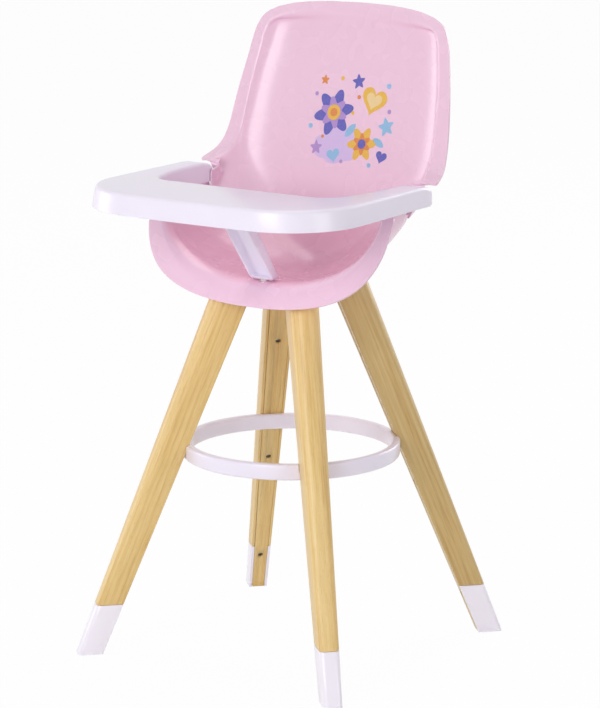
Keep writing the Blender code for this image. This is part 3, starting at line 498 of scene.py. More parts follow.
@dataclass(frozen=True)
class ScrewSteel:
    """Dark zinc-plated steel with turned marks and small scuffs."""

    colour: Triple = (0.20, 0.195, 0.19)
    scuff_scale: float = 900.0
    scuff_tone: float = 0.6
    scuff_stops: Pair = (0.35, 0.65)
    scuff_height: float = 0.00004
    roughness: Pair = (0.28, 0.50)

    def material(self, name: str) -> Material:
        """Builds the node material.

        Args:
            name: Name of the material.

        Returns:
            The material.
        """
        material, board, shader = blank_material(name)
        scuffs = board.noise(board.place(), self.scuff_scale, detail=5.0)
        tone = tuple(value * self.scuff_tone for value in self.colour)
        board.feed(shader, {
            "Base Color": board.ramp(scuffs, tuple(zip(self.scuff_stops, (tone, self.colour)))),
            "Roughness": board.span(scuffs, *self.roughness),
            "Normal": board.bump(scuffs, strength=0.4, distance=self.scuff_height),
            "Metallic": 1.0,
        })
        return material


class Ink(Enum):
    """Colours of the print on the backrest, as linear values."""

    VIOLET = (0.105, 0.098, 0.46)
    LILAC = (0.43, 0.26, 0.60)
    PALE_LILAC = (0.66, 0.50, 0.80)
    YELLOW = (0.80, 0.47, 0.055)
    CREAM = (0.84, 0.62, 0.30)
    ORANGE = (0.72, 0.235, 0.045)
    SKY = (0.27, 0.50, 0.74)


@dataclass(frozen=True)
class PadPrintInk:
    """Thin pad-printed ink: even, slightly glossier than the plastic, with a fine stipple."""

    ink: Ink
    stipple_scale: float = 700.0
    stipple_stops: Pair = (0.35, 0.75)
    thin_tone: float = 0.8
    thin_share: float = 0.10
    roughness: Pair = (0.26, 0.36)

    def material(self, name: str) -> Material:
        """Builds the node material.

        Args:
            name: Name of the material.

        Returns:
            The material.
        """
        material, board, shader = blank_material(name)
        stipple = board.noise(board.place(), self.stipple_scale, detail=3.0)
        thin = tuple(lerp(value, self.thin_tone, self.thin_share) for value in self.ink.value)
        board.feed(shader, {
            "Base Color": board.ramp(stipple, tuple(zip(self.stipple_stops, (self.ink.value, thin)))),
            "Roughness": board.span(stipple, *self.roughness),
        })
        return material


# The shell's third colour is painted shade, a darker and deeper pink on the bucket's inner wall.
SHELL_PLASTIC = MouldedPlastic(
    colour=(0.870, 0.592, 0.740), shade=(0.866, 0.587, 0.736), bucket_painted_shade=(0.840, 0.440, 0.585),
)
TRAY_PLASTIC = MouldedPlastic(colour=(0.900, 0.842, 0.965), shade=(0.893, 0.834, 0.960), roughness=0.32)
TIP_PLASTIC = MouldedPlastic(colour=(0.955, 0.905, 0.998), shade=(0.945, 0.895, 0.992), roughness=0.32)
LEG_WOOD = VarnishedWood()
STEEL = ScrewSteel()


# Mesh helpers


def linked(name: str, data: bpy.types.ID) -> Piece:
    """Makes an object at the origin and links it to the scene.

    Args:
        name: Name of the object.
        data: Its mesh, lamp or camera.

    Returns:
        The object.
    """
    obj = bpy.data.objects.new(name, data)
    bpy.context.scene.collection.objects.link(obj)
    return obj


@contextmanager
def mesh_work(mesh: bpy.types.Mesh) -> Iterator[bmesh.types.BMesh]:
    """Opens a mesh for work and writes it back.

    Args:
        mesh: The mesh.

    Yields:
        Its editable form.
    """
    work = bmesh.new()
    work.from_mesh(mesh)
    yield work
    work.to_mesh(mesh)
    work.free()


def new_object(
    name: str, points: Sequence[Point], faces: Sequence[Face], shift: Vector = FRAME_SHIFT,
) -> Piece:
    """Makes a mesh object at the origin.

    Args:
        name: Name of the object.
        points: Points in the chair's own frame.
        faces: Faces as point numbers.
        shift: What is added to every point.

    Returns:
        The object, with its faces turned outward.
    """
    mesh = bpy.data.meshes.new(name)
    mesh.from_pydata([tuple(Vector(point) + shift) for point in points], [], [tuple(face) for face in faces])
    with mesh_work(mesh) as work:
        bmesh.ops.recalc_face_normals(work, faces=work.faces)
    return linked(name, mesh)


def loft(rings: Sequence[Sequence[Point]], caps: Sequence[Face] | None = None) -> Solid:
    """Closes a solid through rings of equal count.

    Args:
        rings: The rings from one end to the other.
        caps: Faces that close an end, or nothing for one flat face.

    Returns:
        The points and the faces.
    """
    count = len(rings[0])
    points = [tuple(point) for ring in rings for point in ring]
    caps = caps or [tuple(range(count))]
    faces: list[Face] = list(caps)
    for low in range(0, (len(rings) - 1) * count, count):
        for step in range(count):
            after = (step + 1) % count
            faces.append((low + step, low + after, low + count + after, low + count + step))
    last = (len(rings) - 1) * count
    faces += [tuple(last + corner for corner in face) for face in caps]
    return points, faces


def rod(start: Point, end: Point, radius: float, edge: float, steps: int = 32) -> Solid:
    """Makes a rod with rounded ends.

    Args:
        start: Centre of one end.
        end: Centre of the other end.
        radius: Radius of the rod.
        edge: Rounding of its ends.
        steps: Number of sides.

    Returns:
        The points and the faces.
    """
    axis = Vector(end) - Vector(start)
    way = axis.normalized()
    side = way.orthogonal().normalized()
    other = way.cross(side)
    turns = [QUARTER * step / ROD_EDGE_STEPS for step in range(ROD_EDGE_STEPS + 1)]
    profile = [(edge * (1 - math.cos(turn)), radius - edge * (1 - math.sin(turn))) for turn in turns]
    profile += [(axis.length - along, wide) for along, wide in reversed(profile)]
    rings = []
    for along, wide in profile:
        centre = Vector(start) + way * along
        angles = round_angles(steps)
        rings.append([centre + side * (wide * math.cos(a)) + other * (wide * math.sin(a)) for a in angles])
    return loft(rings)


def merged(name: str, solids: Sequence[Solid]) -> Piece:
    """Makes one object of several solids.

    Args:
        name: Name of the object.
        solids: Points and faces of each solid.

    Returns:
        The object.
    """
    points: list[Point] = []
    faces: list[Face] = []
    for some_points, some_faces in solids:
        faces += [tuple(len(points) + corner for corner in face) for face in some_faces]
        points += some_points
    return new_object(name, points, faces)


def settle(obj: Piece) -> Piece:
    """Turns an object's modifiers into plain mesh.

    Args:
        obj: The object.

    Returns:
        The same object.
    """
    graph = bpy.context.evaluated_depsgraph_get()
    graph.update()
    mesh = bpy.data.meshes.new_from_object(obj.evaluated_get(graph))
    obj.modifiers.clear()
    obj.data = mesh
    return obj


def drop(obj: Piece) -> None:
    """Removes a helper object from the scene."""
    bpy.data.objects.remove(obj, do_unlink=True)


def join(obj: Piece, other: Piece) -> Piece:
    """Adds another object's mesh to this one's.

    Args:
        obj: The object.
        other: The other object, which is removed.

    Returns:
        The same object.
    """
    with mesh_work(obj.data) as work:
        work.from_mesh(other.data)
    drop(other)
    return obj


def cut(obj: Piece, tool: Piece) -> Piece:
    """Cuts a solid out of an object.

    Args:
        obj: The object.
        tool: The solid, which is removed.

    Returns:
        The same object.
    """
    for each in (obj, tool):
        flat = each.modifiers.new("flat_faces", "TRIANGULATE")
        flat.min_vertices = 4
    boolean = obj.modifiers.new("cut", "BOOLEAN")
    boolean.operation = "DIFFERENCE"
    boolean.solver = "EXACT"
    boolean.object = tool
    settle(obj)
    drop(tool)
    return obj


def rounded(obj: Piece, width: float, segments: int = 3, angle: float = 50) -> Piece:
    """Rounds the sharp edges of an object.

    Args:
        obj: The object.
        width: Width of the rounding.
        segments: Facets across the rounding.
        angle: Smallest angle between faces, in degrees, that counts as sharp.

    Returns:
        The same object.
    """
    bevel = obj.modifiers.new("edges", "BEVEL")
    bevel.width = width
    bevel.segments = segments
    bevel.limit_method = "ANGLE"
    bevel.angle_limit = math.radians(angle)
    bevel.use_clamp_overlap = True
    bevel.harden_normals = False
    return settle(obj)


def mend(obj: Piece, reach: float) -> None:
    """Joins points that touch, takes out faces folded on each other and closes the slits that cuts leave.

    Args:
        obj: The object.
        reach: Distance under which points are one.
    """
    with mesh_work(obj.data) as work:
        bmesh.ops.remove_doubles(work, verts=work.verts, dist=reach)
        bmesh.ops.triangulate(work, faces=work.faces)
        groups: dict[frozenset, list] = {}
        for face in work.faces:
            groups.setdefault(frozenset(face.verts), []).append(face)
        folded = [face for group in groups.values() if len(group) > 1 for face in group]
        bmesh.ops.delete(work, geom=folded, context="FACES")
        bmesh.ops.delete(work, geom=[edge for edge in work.edges if not edge.link_faces], context="EDGES")
        bmesh.ops.holes_fill(work, edges=[edge for edge in work.edges if edge.is_boundary], sides=0)
        bmesh.ops.triangulate(work, faces=work.faces)


def smooth(obj: Piece, angle: float = 38, reach: float = 3e-6) -> Piece:
    """Mends an object's mesh and shades it smooth apart from its sharp edges.

    Args:
        obj: The object.
        angle: Smallest angle between faces, in degrees, that stays sharp.
        reach: Distance under which points are one.

    Returns:
        The same object.
    """
    mend(obj, reach)
    obj.data.shade_smooth()
    obj.data.set_sharp_from_angle(angle=math.radians(angle))
    return obj


def copy_of_node(node: str, name: str, flat_angle: float = 1.0) -> Piece:
    """Copies a frame node with its loose triangles merged and its flat faces joined.

    Args:
        node: Name of the frame node.
        name: Name of the copy.
        flat_angle: Angle in degrees below which neighbouring faces are joined.

    Returns:
        The copy.
    """
    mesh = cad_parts[node].data.copy()
    mesh.materials.clear()
    limit = math.radians(flat_angle)
    with mesh_work(mesh) as work:
        bmesh.ops.remove_doubles(work, verts=work.verts, dist=SAME_SPOT)
        bmesh.ops.dissolve_limit(
            work, angle_limit=limit, verts=work.verts, edges=work.edges, use_dissolve_boundaries=False,
        )
    return linked(name, mesh)


def skin_of(obj: Piece) -> BVHTree:
    """Search tree of an object's faces."""
    spots = [vert.co.copy() for vert in obj.data.vertices]
    return BVHTree.FromPolygons(spots, [tuple(face.vertices) for face in obj.data.polygons])


def finish_piece(obj: Piece, material: Material, body: Body, nodes: Sequence[str] = ()) -> None:
    """Gives a piece its material, its body and the frame nodes that it stands for.

    Args:
        obj: The finished piece.
        material: Its material.
        body: The body that it rides on.
        nodes: Frame nodes that it replaces.
    """
    obj.data.materials.clear()
    obj.data.materials.append(material)
    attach(obj, body.value)
    if nodes:
        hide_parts(*nodes)
    LOG.info("%s: %d faces on %s", obj.name, len(obj.data.polygons), body.value)


# Legs


@dataclass
class LegShape:
    """Sizes of a leg, drawn with X outward along its diagonal and Y across."""

    foot_radius: float = FOOT_RADIUS
    lean: float = LEG_LEAN
    hip_z: float = 0.378
    top: float = 0.3985
    foot_depth: float = 0.0269
    hip_depth: float = 0.0398
    foot_width: float = 0.0200
    hip_width: float = 0.0310
    foot_corner: float = 0.0050
    hip_corner: float = 0.0145
    wall: float = 0.0030
    tip_height: float = 0.0540
    gap: float = 0.0003
    corner_steps: int = 12
    long_steps: int = 14
    cup_depth: float = 0.0058
    cup_floor: float = 0.0016
    boss_radius: float = 0.0044
    pilot_radius: float = 0.0016
    pilot_depth: float = 0.0120
    # The lowest screw holds the foot tip and the highest one the seat's plug.
    screw_levels: tuple[float, ...] = (0.042, 0.171, 0.3155, 0.3855)
    plug_bottom: float = 0.3740
    plug_half: float = 0.0100
    plug_corner: float = 0.0040

    def sizes(self, z: float) -> tuple[float, float, float, float]:
        """Measures the leg's section.

        Args:
            z: Height of the section.

        Returns:
            Its centre radius, depth, width and corner radius.
        """
        share = z / self.hip_z
        depth = lerp(self.foot_depth, self.hip_depth, share)
        width = lerp(self.foot_width, self.hip_width, share)
        return self.foot_radius - self.lean * z, depth, width, lerp(self.foot_corner, self.hip_corner, share)

    def inner_face(self, z: float) -> float:
        """Radius of the flat inner face at this height."""
        radius, depth, _, _ = self.sizes(z)
        return radius - depth / 2

    def face_lean(self) -> float:
        """Angle of the inner face from the upright."""
        return math.atan((self.inner_face(0) - self.inner_face(self.hip_z)) / self.hip_z)

    def on_face(self, z: float, depth: float) -> Vector:
        """Point on the leg's mid line, this far behind its inner face."""
        into = Vector((math.cos(self.face_lean()), 0, math.sin(self.face_lean())))
        return Vector((self.inner_face(z), 0, z)) + into * depth

    def front(self, z: float, inset: float) -> list[Triple]:
        """Draws the round front of the leg's section.

        Args:
            z: Height of the section.
            inset: Distance in from the outer surface.

        Returns:
            Its points, from the right back corner to the left one.
        """
        radius, depth, width, corner = self.sizes(z)
        front = radius + depth / 2 - inset
        half = width / 2 - inset
        curve = max(corner - inset, self.gap * 3)
        right = [(radius - depth / 2, half, z)]
        for step in range(self.corner_steps + 1):
            turn = QUARTER * (1 - step / self.corner_steps)
            right.append((front - curve + curve * math.cos(turn), half - curve + curve * math.sin(turn), z))
        return right + [(x, -y, height) for x, y, height in reversed(right)]

    def casing(self) -> Solid:
        """Draws the casing, open toward the chair's middle.

        Returns:
            Its points and faces, from the foot tip's joint to the open top.
        """
        low = self.tip_height + self.gap
        levels = [lerp(low, self.top, step / self.long_steps) for step in range(self.long_steps + 1)]
        return loft([self.front(z, 0) + list(reversed(self.front(z, self.wall))) for z in levels])

    def boss(self, z: float) -> tuple[Solid, Solid]:
        """Draws a screw boss inside the casing.

        Args:
            z: Height of its screw.

        Returns:
            The boss, and the pilot hole to be cut in it.
        """
        end = self.sizes(z)[1] * math.cos(self.face_lean()) - self.wall / 2
        foot = self.on_face(z, self.cup_depth + self.gap)
        solid = rod(foot, self.on_face(z, end), self.boss_radius, self.gap)
        ends = [self.on_face(z, depth) for depth in (self.cup_depth / 2, self.cup_depth + self.pilot_depth)]
        return solid, rod(*ends, self.pilot_radius, self.gap)

    @staticmethod
    def placed(number: int, point: Point) -> Vector:
        """A point of the drawn leg turned onto one of the four diagonals."""
        return Matrix.Rotation(leg_turn(number), 3, "Z") @ Vector(point)

    def turned(self, number: int, solid: Solid) -> Solid:
        """A drawn solid turned onto one of the four diagonals."""
        return [self.placed(number, point) for point in solid[0]], solid[1]

    def plug_ring(self, z: float) -> list[Triple]:
        """Draws the rounded square of the seat's plug, which follows the lean of the leg.

        Args:
            z: Height of the section.

        Returns:
            Its points.
        """
        radius = self.sizes(z)[0]
        reach = self.plug_half - self.plug_corner
        steps = self.corner_steps // 2
        ring = []
        for turn, (along, across) in enumerate(((1, 1), (-1, 1), (-1, -1), (1, -1))):
            for step in range(steps + 1):
                angle = QUARTER * (turn + step / steps)
                x = radius + along * reach + self.plug_corner * math.cos(angle)
                ring.append((x, across * reach + self.plug_corner * math.sin(angle), z))
        return ring


@dataclass
class Legs:
    """Four equal legs: wooden casing and cover, and a moulded foot tip."""

    shape: LegShape
    edge: float = 0.0007
    sharp: float = 55.0
    cover_shift: float = 0.37

    def build(self) -> None:
        """Builds and dresses the pieces of every leg."""
        tip_look = TIP_PLASTIC.material("foot_tip_plastic")
        for number, where in enumerate(LEG_NAMES):
            look = LEG_WOOD.material(f"casing_wood_{where}", number)
            finish_piece(self.casing(number, where), look, Body.STAND, [f"leg_casing_{where}"])
            cover = smooth(copy_of_node(f"leg_cover_{where}", f"cover_{where}"), angle=40)
            look = LEG_WOOD.material(f"cover_wood_{where}", number, self.cover_shift)
            finish_piece(cover, look, Body.STAND, [f"leg_cover_{where}"])
            tip = copy_of_node(f"foot_tip_{where}", f"tip_{where}")
            smooth(rounded(tip, self.edge, angle=self.sharp))
            finish_piece(tip, tip_look, Body.STAND, [f"foot_tip_{where}"])

    def casing(self, number: int, where: str) -> Piece:
        """Builds the wooden casing of one leg, with its screw bosses.

        Args:
            number: Number of the leg.
            where: Its name.

        Returns:
            The casing.
        """
        shape = self.shape
        casing = merged(f"casing_{where}", [shape.turned(number, shape.casing())])
        rounded(casing, self.edge, angle=self.sharp)
        pairs = [shape.boss(z) for z in shape.screw_levels if shape.tip_height < z < shape.plug_bottom]
        bosses = merged("bosses", [shape.turned(number, boss) for boss, _ in pairs])
        pilots = merged("pilots", [shape.turned(number, pilot) for _, pilot in pairs])
        return smooth(join(casing, cut(bosses, pilots)))


# Footrest ring


@dataclass
class FootrestRing:
    """Round footrest swept by a Geometry Nodes tree, notched where it meets the legs."""

    shape: LegShape
    radius: float = 0.1165
    thickness: float = 0.0090
    height: float = 0.0170
    level: float = 0.2180
    edge: float = 0.0028
    segments: int = 200
    edge_segments: int = 6
    peg_radius: float = 0.0030
    cover: float = 0.0025

    def board(self, material: Material) -> GeometryBoard:
        """Builds the tree that sweeps the ring.

        Args:
            material: Material that the tree sets.

        Returns:
            The board of the tree.
        """
        board = GeometryBoard("footrest_sweep", {
            "Radius": "Float", "Thickness": "Float", "Height": "Float", "Edge": "Float", "Segments": "Int",
            "Edge Segments": "Int", "Centre": "Vector",
        })
        given = board.given
        middle = board.math("SUBTRACT", given["Radius"], board.math("MULTIPLY", given["Thickness"], 0.5))
        round_line = {"Resolution": given["Segments"], "Radius": middle}
        circle = board.add("GeometryNodeCurvePrimitiveCircle", round_line)
        square = {"Width": given["Thickness"], "Height": given["Height"]}
        section = board.add("GeometryNodeCurvePrimitiveQuadrilateral", square)
        corners = {"Curve": section.outputs[0], "Radius": given["Edge"], "Count": given["Edge Segments"]}
        fillet = board.add("GeometryNodeFilletCurve", corners, mode="POLY")
        lines = {"Curve": circle.outputs[0], "Profile Curve": fillet.outputs[0]}
        sweep = board.add("GeometryNodeCurveToMesh", lines)
        lift = {"Geometry": sweep.outputs[0], "Translation": given["Centre"]}
        board.close(board.add("GeometryNodeTransform", lift).outputs[0], material)
        return board

    def build(self) -> None:
        """Builds and dresses the ring."""
        look = TRAY_PLASTIC.material("ring_plastic")
        ring = new_object("footrest", [(0, 0, 0)], [])
        board = self.board(look)
        board.run(ring, {
            "Radius": self.radius, "Thickness": self.thickness, "Height": self.height, "Edge": self.edge,
            "Segments": self.segments, "Edge Segments": self.edge_segments,
            "Centre": (FRAME_SHIFT.x, FRAME_SHIFT.y, self.level),
        })
        bpy.data.node_groups.remove(board.tree)
        with mesh_work(ring.data) as work:
            bmesh.ops.remove_doubles(work, verts=work.verts, dist=SAME_SPOT)
            bmesh.ops.recalc_face_normals(work, faces=work.faces)
        legs = range(len(LEG_NAMES))
        cut(ring, merged("notches", [self.notch(number) for number in legs]))
        join(ring, merged("pegs", [self.peg(number) for number in legs]))
        finish_piece(smooth(ring, angle=34), look, Body.STAND, ["footrest_ring"])

    def notch(self, number: int) -> Solid:
        """Draws the solid that makes room for one leg.

        Args:
            number: Number of the leg.

        Returns:
            Its points and faces.
        """
        half = self.shape.sizes(self.level)[2] / 2 + self.shape.gap * 2
        rings = []
        for z in (self.level - self.height, self.level + self.height):
            face = self.shape.inner_face(z) - self.shape.gap / math.cos(self.shape.face_lean())
            far = face + self.thickness * 3
            corners = ((face, -half), (far, -half), (far, half), (face, half))
            rings.append([self.shape.placed(number, (x, y, z)) for x, y in corners])
        return loft(rings)

    def peg(self, number: int) -> Solid:
        """Peg of the ring in one leg's cover."""
        ends = [self.shape.on_face(self.level, depth) for depth in (-self.thickness / 3, self.cover)]
        return rod(*[self.shape.placed(number, end) for end in ends], self.peg_radius, self.shape.gap)


# Screws


@dataclass
class ScrewShape:
    """Pan-head screw with a cross drive, drawn along +Z with its head's under side at the origin."""

    length: float
    head_radius: float = 0.0028
    head_height: float = 0.0017
    # Shares of the head's height and radius, from the top down.
    head_profile: tuple[Pair, ...] = ((1.0, 0.62), (0.93, 0.80), (0.72, 0.94), (0.42, 1.0), (0.0, 1.0))
    shank_radius: float = 0.0013
    thread_height: float = 0.00022
    turns: int = 8
    point: float = 0.0016
    drive_length: float = 0.0034
    drive_width: float = 0.0008
    drive_depth: float = 0.0008
    drive_over: float = 1.2
    sides: int = 24

    def profile(self) -> list[Pair]:
        """Draws the screw's outline.

        Returns:
            Heights and radii from the top of the head to the point.
        """
        found = [(-self.head_height * rise, self.head_radius * share) for rise, share in self.head_profile]
        found.append((0, self.shank_radius))
        low, high = self.head_height / 2, self.length - self.point
        root = self.shank_radius - self.thread_height
        for turn in range(self.turns):
            start = lerp(low, high, turn / self.turns)
            found += [(start, root), (start + (high - low) / self.turns / 2, self.shank_radius)]
        return [*found, (high, root), (self.length, self.shank_radius / 4)]

    def build(self, name: str) -> Piece:
        """Builds one screw, which is instanced and then removed.

        Args:
            name: Name of the helper object.

        Returns:
            The screw.
        """
        rings = []
        for z, radius in self.profile():
            rings.append([(radius * math.cos(a), radius * math.sin(a), z) for a in round_angles(self.sides)])
        screw = new_object(name, *loft(rings), shift=Vector())
        half = (self.drive_length / 2, self.drive_width / 2)
        levels = (-self.head_height * self.drive_over, -self.head_height + self.drive_depth)
        for x, y in (half, half[::-1]):
            rings = [[(x, y, z), (-x, y, z), (-x, -y, z), (x, -y, z)] for z in levels]
            cut(screw, new_object("drive", *loft(rings), shift=Vector()))
        return screw


@dataclass
class ScrewSet:
    """Sets a screw on each point of a mesh with a Geometry Nodes tree."""

    shape: LegShape
    leg_length: float = 0.0120
    post_length: float = 0.0092
    seed: int = 7

    def board(self, material: Material) -> GeometryBoard:
        """Builds the tree that sets and turns the screws.

        Args:
            material: Material that the tree sets.

        Returns:
            The board of the tree.
        """
        sockets = {"Screw": "Object", "Tilt": "Float", "Middle": "Vector", "Seed": "Int"}
        board = GeometryBoard("screw_setting", sockets)
        given = board.given
        here = board.add("GeometryNodeInputPosition").outputs[0]
        out = board.vector("SUBTRACT", here, given["Middle"])[0]
        reach = board.add("ShaderNodeSeparateXYZ", {"Vector": out}).outputs
        angle = board.math("ARCTAN2", reach[1], reach[0])
        turn = board.add("ShaderNodeCombineXYZ", {"Y": given["Tilt"], "Z": angle}).outputs[0]
        screw = board.add("GeometryNodeObjectInfo", {"Object": given["Screw"]}).outputs["Geometry"]
        seats = board.add("GeometryNodeMeshToPoints", {"Mesh": given["Geometry"]}).outputs[0]
        placing = {"Points": seats, "Instance": screw, "Rotation": turn}
        placed = board.add("GeometryNodeInstanceOnPoints", placing).outputs[0]
        limits = {"Seed": given["Seed"], 3: math.tau}
        chance = board.add("FunctionNodeRandomValue", limits, data_type="FLOAT").outputs[1]
        spin = board.add("ShaderNodeCombineXYZ", {"Z": chance}).outputs[0]
        spinning = {"Instances": placed, "Rotation": spin, "Local Space": True}
        board.close(board.add("GeometryNodeRotateInstances", spinning).outputs[0], material)
        return board

    def build(self) -> None:
        """Builds the leg screws on the stand and the two post screws on the tray."""
        shape = self.shape
        depth = shape.cup_depth - shape.cup_floor - shape.gap
        seats = [shape.on_face(z, depth) for z in shape.screw_levels]
        spots = [shape.placed(leg, seat) for leg in range(len(LEG_NAMES)) for seat in seats]
        leg_nodes = [f"leg_screw_{letter}_{where}" for where in LEG_NAMES for letter in "abcd"]
        x, y, z = POST_SCREW_SEAT
        post_spots = [(side * x, y, z) for side in SIDES]
        post_nodes = ["post_screw_right", "post_screw_left"]
        look = STEEL.material("screw_steel")
        board = self.board(look)
        for name, points, length, tilt, body, nodes in (
            ("leg_screws", spots, self.leg_length, QUARTER - shape.face_lean(), Body.STAND, leg_nodes),
            ("post_screws", post_spots, self.post_length, 0, Body.TRAY, post_nodes),
        ):
            screw = ScrewShape(length).build(f"{name}_source")
            piece = new_object(name, points, [])
            board.run(piece, {"Screw": screw, "Tilt": tilt, "Middle": tuple(FRAME_SHIFT), "Seed": self.seed})
            drop(screw)
            finish_piece(smooth(piece, angle=35), look, body, nodes)
        bpy.data.node_groups.remove(board.tree)


# Crotch post


@dataclass
class CrotchPost:
    """Channel-shaped post under the tray, with the plate that two screws hold."""

    edge: float = 0.0005

    def build(self) -> None:
        """Softens the edges of the post and dresses it."""
        post = smooth(rounded(copy_of_node("crotch_post", "post"), self.edge, segments=2, angle=60))
        finish_piece(post, TRAY_PLASTIC.material("post_plastic"), Body.TRAY, ["crotch_post"])


# Tray


def box_solid(side: float, low: Point, high: Point) -> Solid:
    """Points and faces of a box, on the right for a side of 1 and mirrored for -1."""
    corners = ((low[0], low[1]), (high[0], low[1]), (high[0], high[1]), (low[0], high[1]))
    return loft([[(side * x, y, z) for x, y in corners] for z in (low[2], high[2])])


@dataclass
class FlipTray:
    """Horseshoe tray: one moulded wall that runs from the hollow's ceiling over the lip to the flat top."""

    top: float = 0.5100
    skirt: float = 0.4880
    half_width: float = 0.1534
    front: float = 0.1900
    bow: float = 0.0080
    corner: float = 0.0770
    flare: float = 0.0035
    mitre_limit: float = 0.5
    fade_share: float = 0.75
    wall: float = 0.0025
    weld: float = 3e-5
    edge: float = 0.0038
    arm_edge: float = 0.0085
    under_edge: float = 0.0006
    arm_under_edge: float = 0.0045
    arm_drop: float = 0.0045
    arm_drop_length: float = 0.0300
    arm_end: float = 0.0437
    arm_inner_end: float = 0.1265
    opening_front: float = 0.0930
    opening_corner: float = 0.0280
    opening_corner_x: float = 0.1165
    # X and Y along the opening's right side, from the arm to the front.
    opening_side: tuple[Pair, ...] = (
        (0.1262, 0.0080), (0.1255, -0.0170), (0.1228, -0.0400), (0.1200, -0.0550),
    )
    lip_edge: float = 0.0005
    edge_steps: int = 6
    corner_steps: int = 24
    nose_steps: int = 22
    straight_steps: int = 8
    side_steps: int = 3
    pin_radius: float = 0.0029
    pin_edge: float = 0.0002
    # Slot in each arm that the seat's ear stands in.
    slot_x: Pair = (0.1296, 0.1388)
    slot_y: float = 0.0339
    slot_top: float = 0.5017
    boss_foot: float = 0.4980
    boss_radius: float = 0.0044
    boss_edge: float = 0.0004
    pilot_radius: float = 0.0016
    pilot_reach: float = 0.0010

    @staticmethod
    def arc(centre: Point, radius: float, start: float, end: float, steps: int) -> list[Pair]:
        """Points on an arc in plan, from one angle in degrees to the other."""
        angles = [math.radians(lerp(start, end, step / steps)) for step in range(steps + 1)]
        return [(centre[0] + radius * math.cos(a), centre[1] + radius * math.sin(a)) for a in angles]

    def nose(self) -> Pair:
        """Radius of the arm's round end, and Y of its centre."""
        radius = (self.half_width - self.arm_inner_end) / 2
        return radius, self.arm_end - radius

    def half(self) -> list[Pair]:
        """Draws the right half of the plan.

        Returns:
            Its points, from the front's middle round the arm to the opening's middle.
        """
        nose, nose_y = self.nose()
        corner_x = self.half_width - self.corner
        steps = self.straight_steps
        points = []
        for x in [corner_x * step / steps for step in range(steps)]:
            points.append((x, -self.front + self.bow * (x / self.half_width) ** 2))
        corner_y = -self.front + self.bow * (corner_x / self.half_width) ** 2 + self.corner
        points += self.arc((corner_x, corner_y), self.corner, -90, 0, self.corner_steps)
        for step in range(1, steps * 2):
            points.append((self.half_width, lerp(corner_y, nose_y, step / (steps * 2))))
        points += self.arc((self.half_width - nose, nose_y), nose, 0, 180, self.nose_steps)
        centre = (self.opening_corner_x - self.opening_corner, -self.opening_front + self.opening_corner)
        path = (points[-1], *self.opening_side, (self.opening_corner_x, centre[1]))
        side = [Vector(point) for point in path]
        points += [tuple(point) for point in spline([side[0], *side, side[-1]], self.side_steps)[1:-1]]
        points += self.arc(centre, self.opening_corner, 0, -90, self.corner_steps // 2)
        points += [(centre[0] * (1 - step / steps), -self.opening_front) for step in range(1, steps + 1)]
        return points

    def plan(self) -> list[PlanPoint]:
        """Draws the closed plan.

        Returns:
            Each point with its outward way, and whether it is on the outer edge.
        """
        half = self.half()
        tip = max(range(len(half)), key=lambda number: half[number][1])
        points = half + [(-x, y) for x, y in reversed(half) if x > 0]
        count = len(points)
        plan = []
        for number, point in enumerate(points):
            here = Vector(point)
            one = (here - Vector(points[number - 1])).normalized()
            two = (Vector(points[(number + 1) % count]) - here).normalized()
            along = (one + two).normalized()
            normal = Vector((along.y, -along.x))
            stretch = 1 / max(normal.dot(Vector((one.y, -one.x))), self.mitre_limit)
            plan.append((here, normal * stretch, number <= tip or number >= count - tip))
        return plan

    def cap(self, plan: Sequence[PlanPoint]) -> list[Face]:
        """Closes the tray's band, zipped between its outer and its inner edge.

        Args:
            plan: The closed plan.

        Returns:
            Triangles across the band.
        """
        count = len(plan)
        tips = sorted(range(count), key=lambda number: plan[number][0].y)[-2:]
        right, left = min(tips), max(tips)
        outer = list(range(left, count)) + list(range(right + 1))
        inner = list(range(left, right - 1, -1))
        faces = []
        one = two = 0
        while one < len(outer) - 1 or two < len(inner) - 1:
            step_one = step_two = math.inf
            if one < len(outer) - 1:
                step_one = (plan[outer[one + 1]][0] - plan[inner[two]][0]).length
            if two < len(inner) - 1:
                step_two = (plan[outer[one]][0] - plan[inner[two + 1]][0]).length
            if step_one <= step_two:
                face = (outer[one], outer[one + 1], inner[two])
                one += 1
            else:
                face = (outer[one], inner[two + 1], inner[two])
                two += 1
            if len(set(face)) == len(face):
                faces.append(face)
        return faces

    def ring(self, plan: Sequence[PlanPoint], inset: float, level: float, upper: bool) -> list[Point]:
        """Draws one ring of the wall.

        Args:
            plan: The closed plan.
            inset: Distance in from the outer surface.
            level: Place in the rounding of an edge, from 0 to 1.
            upper: Whether that is the upper edge.

        Returns:
            The ring's points.
        """
        nose, nose_y = self.nose()
        rise, run = 1 - math.sin(QUARTER * level), 1 - math.cos(QUARTER * level)
        found = []
        for here, normal, outer in plan:
            end = min(max((here.y - nose_y) / nose, 0), 1)
            arm = ease((here.y - self.arm_end + self.arm_drop_length) / self.arm_drop_length)
            fade = ease((nose_y - here.y) / (self.front * self.fade_share))
            flare = self.flare * fade if outer else self.lip_edge
            top = self.top - inset - self.arm_drop * arm
            if upper:
                curve = max(lerp(self.edge, self.arm_edge, end) - inset, self.lip_edge * 2)
                z, pull = top - curve * rise, inset + curve * run
            else:
                curve = lerp(self.under_edge, self.arm_under_edge, end)
                z, pull = self.skirt + curve * run, inset + curve * rise
            spread = flare * (top - z) / (self.top - self.skirt)
            spot = here + normal * (spread - pull)
            found.append((spot.x, spot.y, z))
        return found

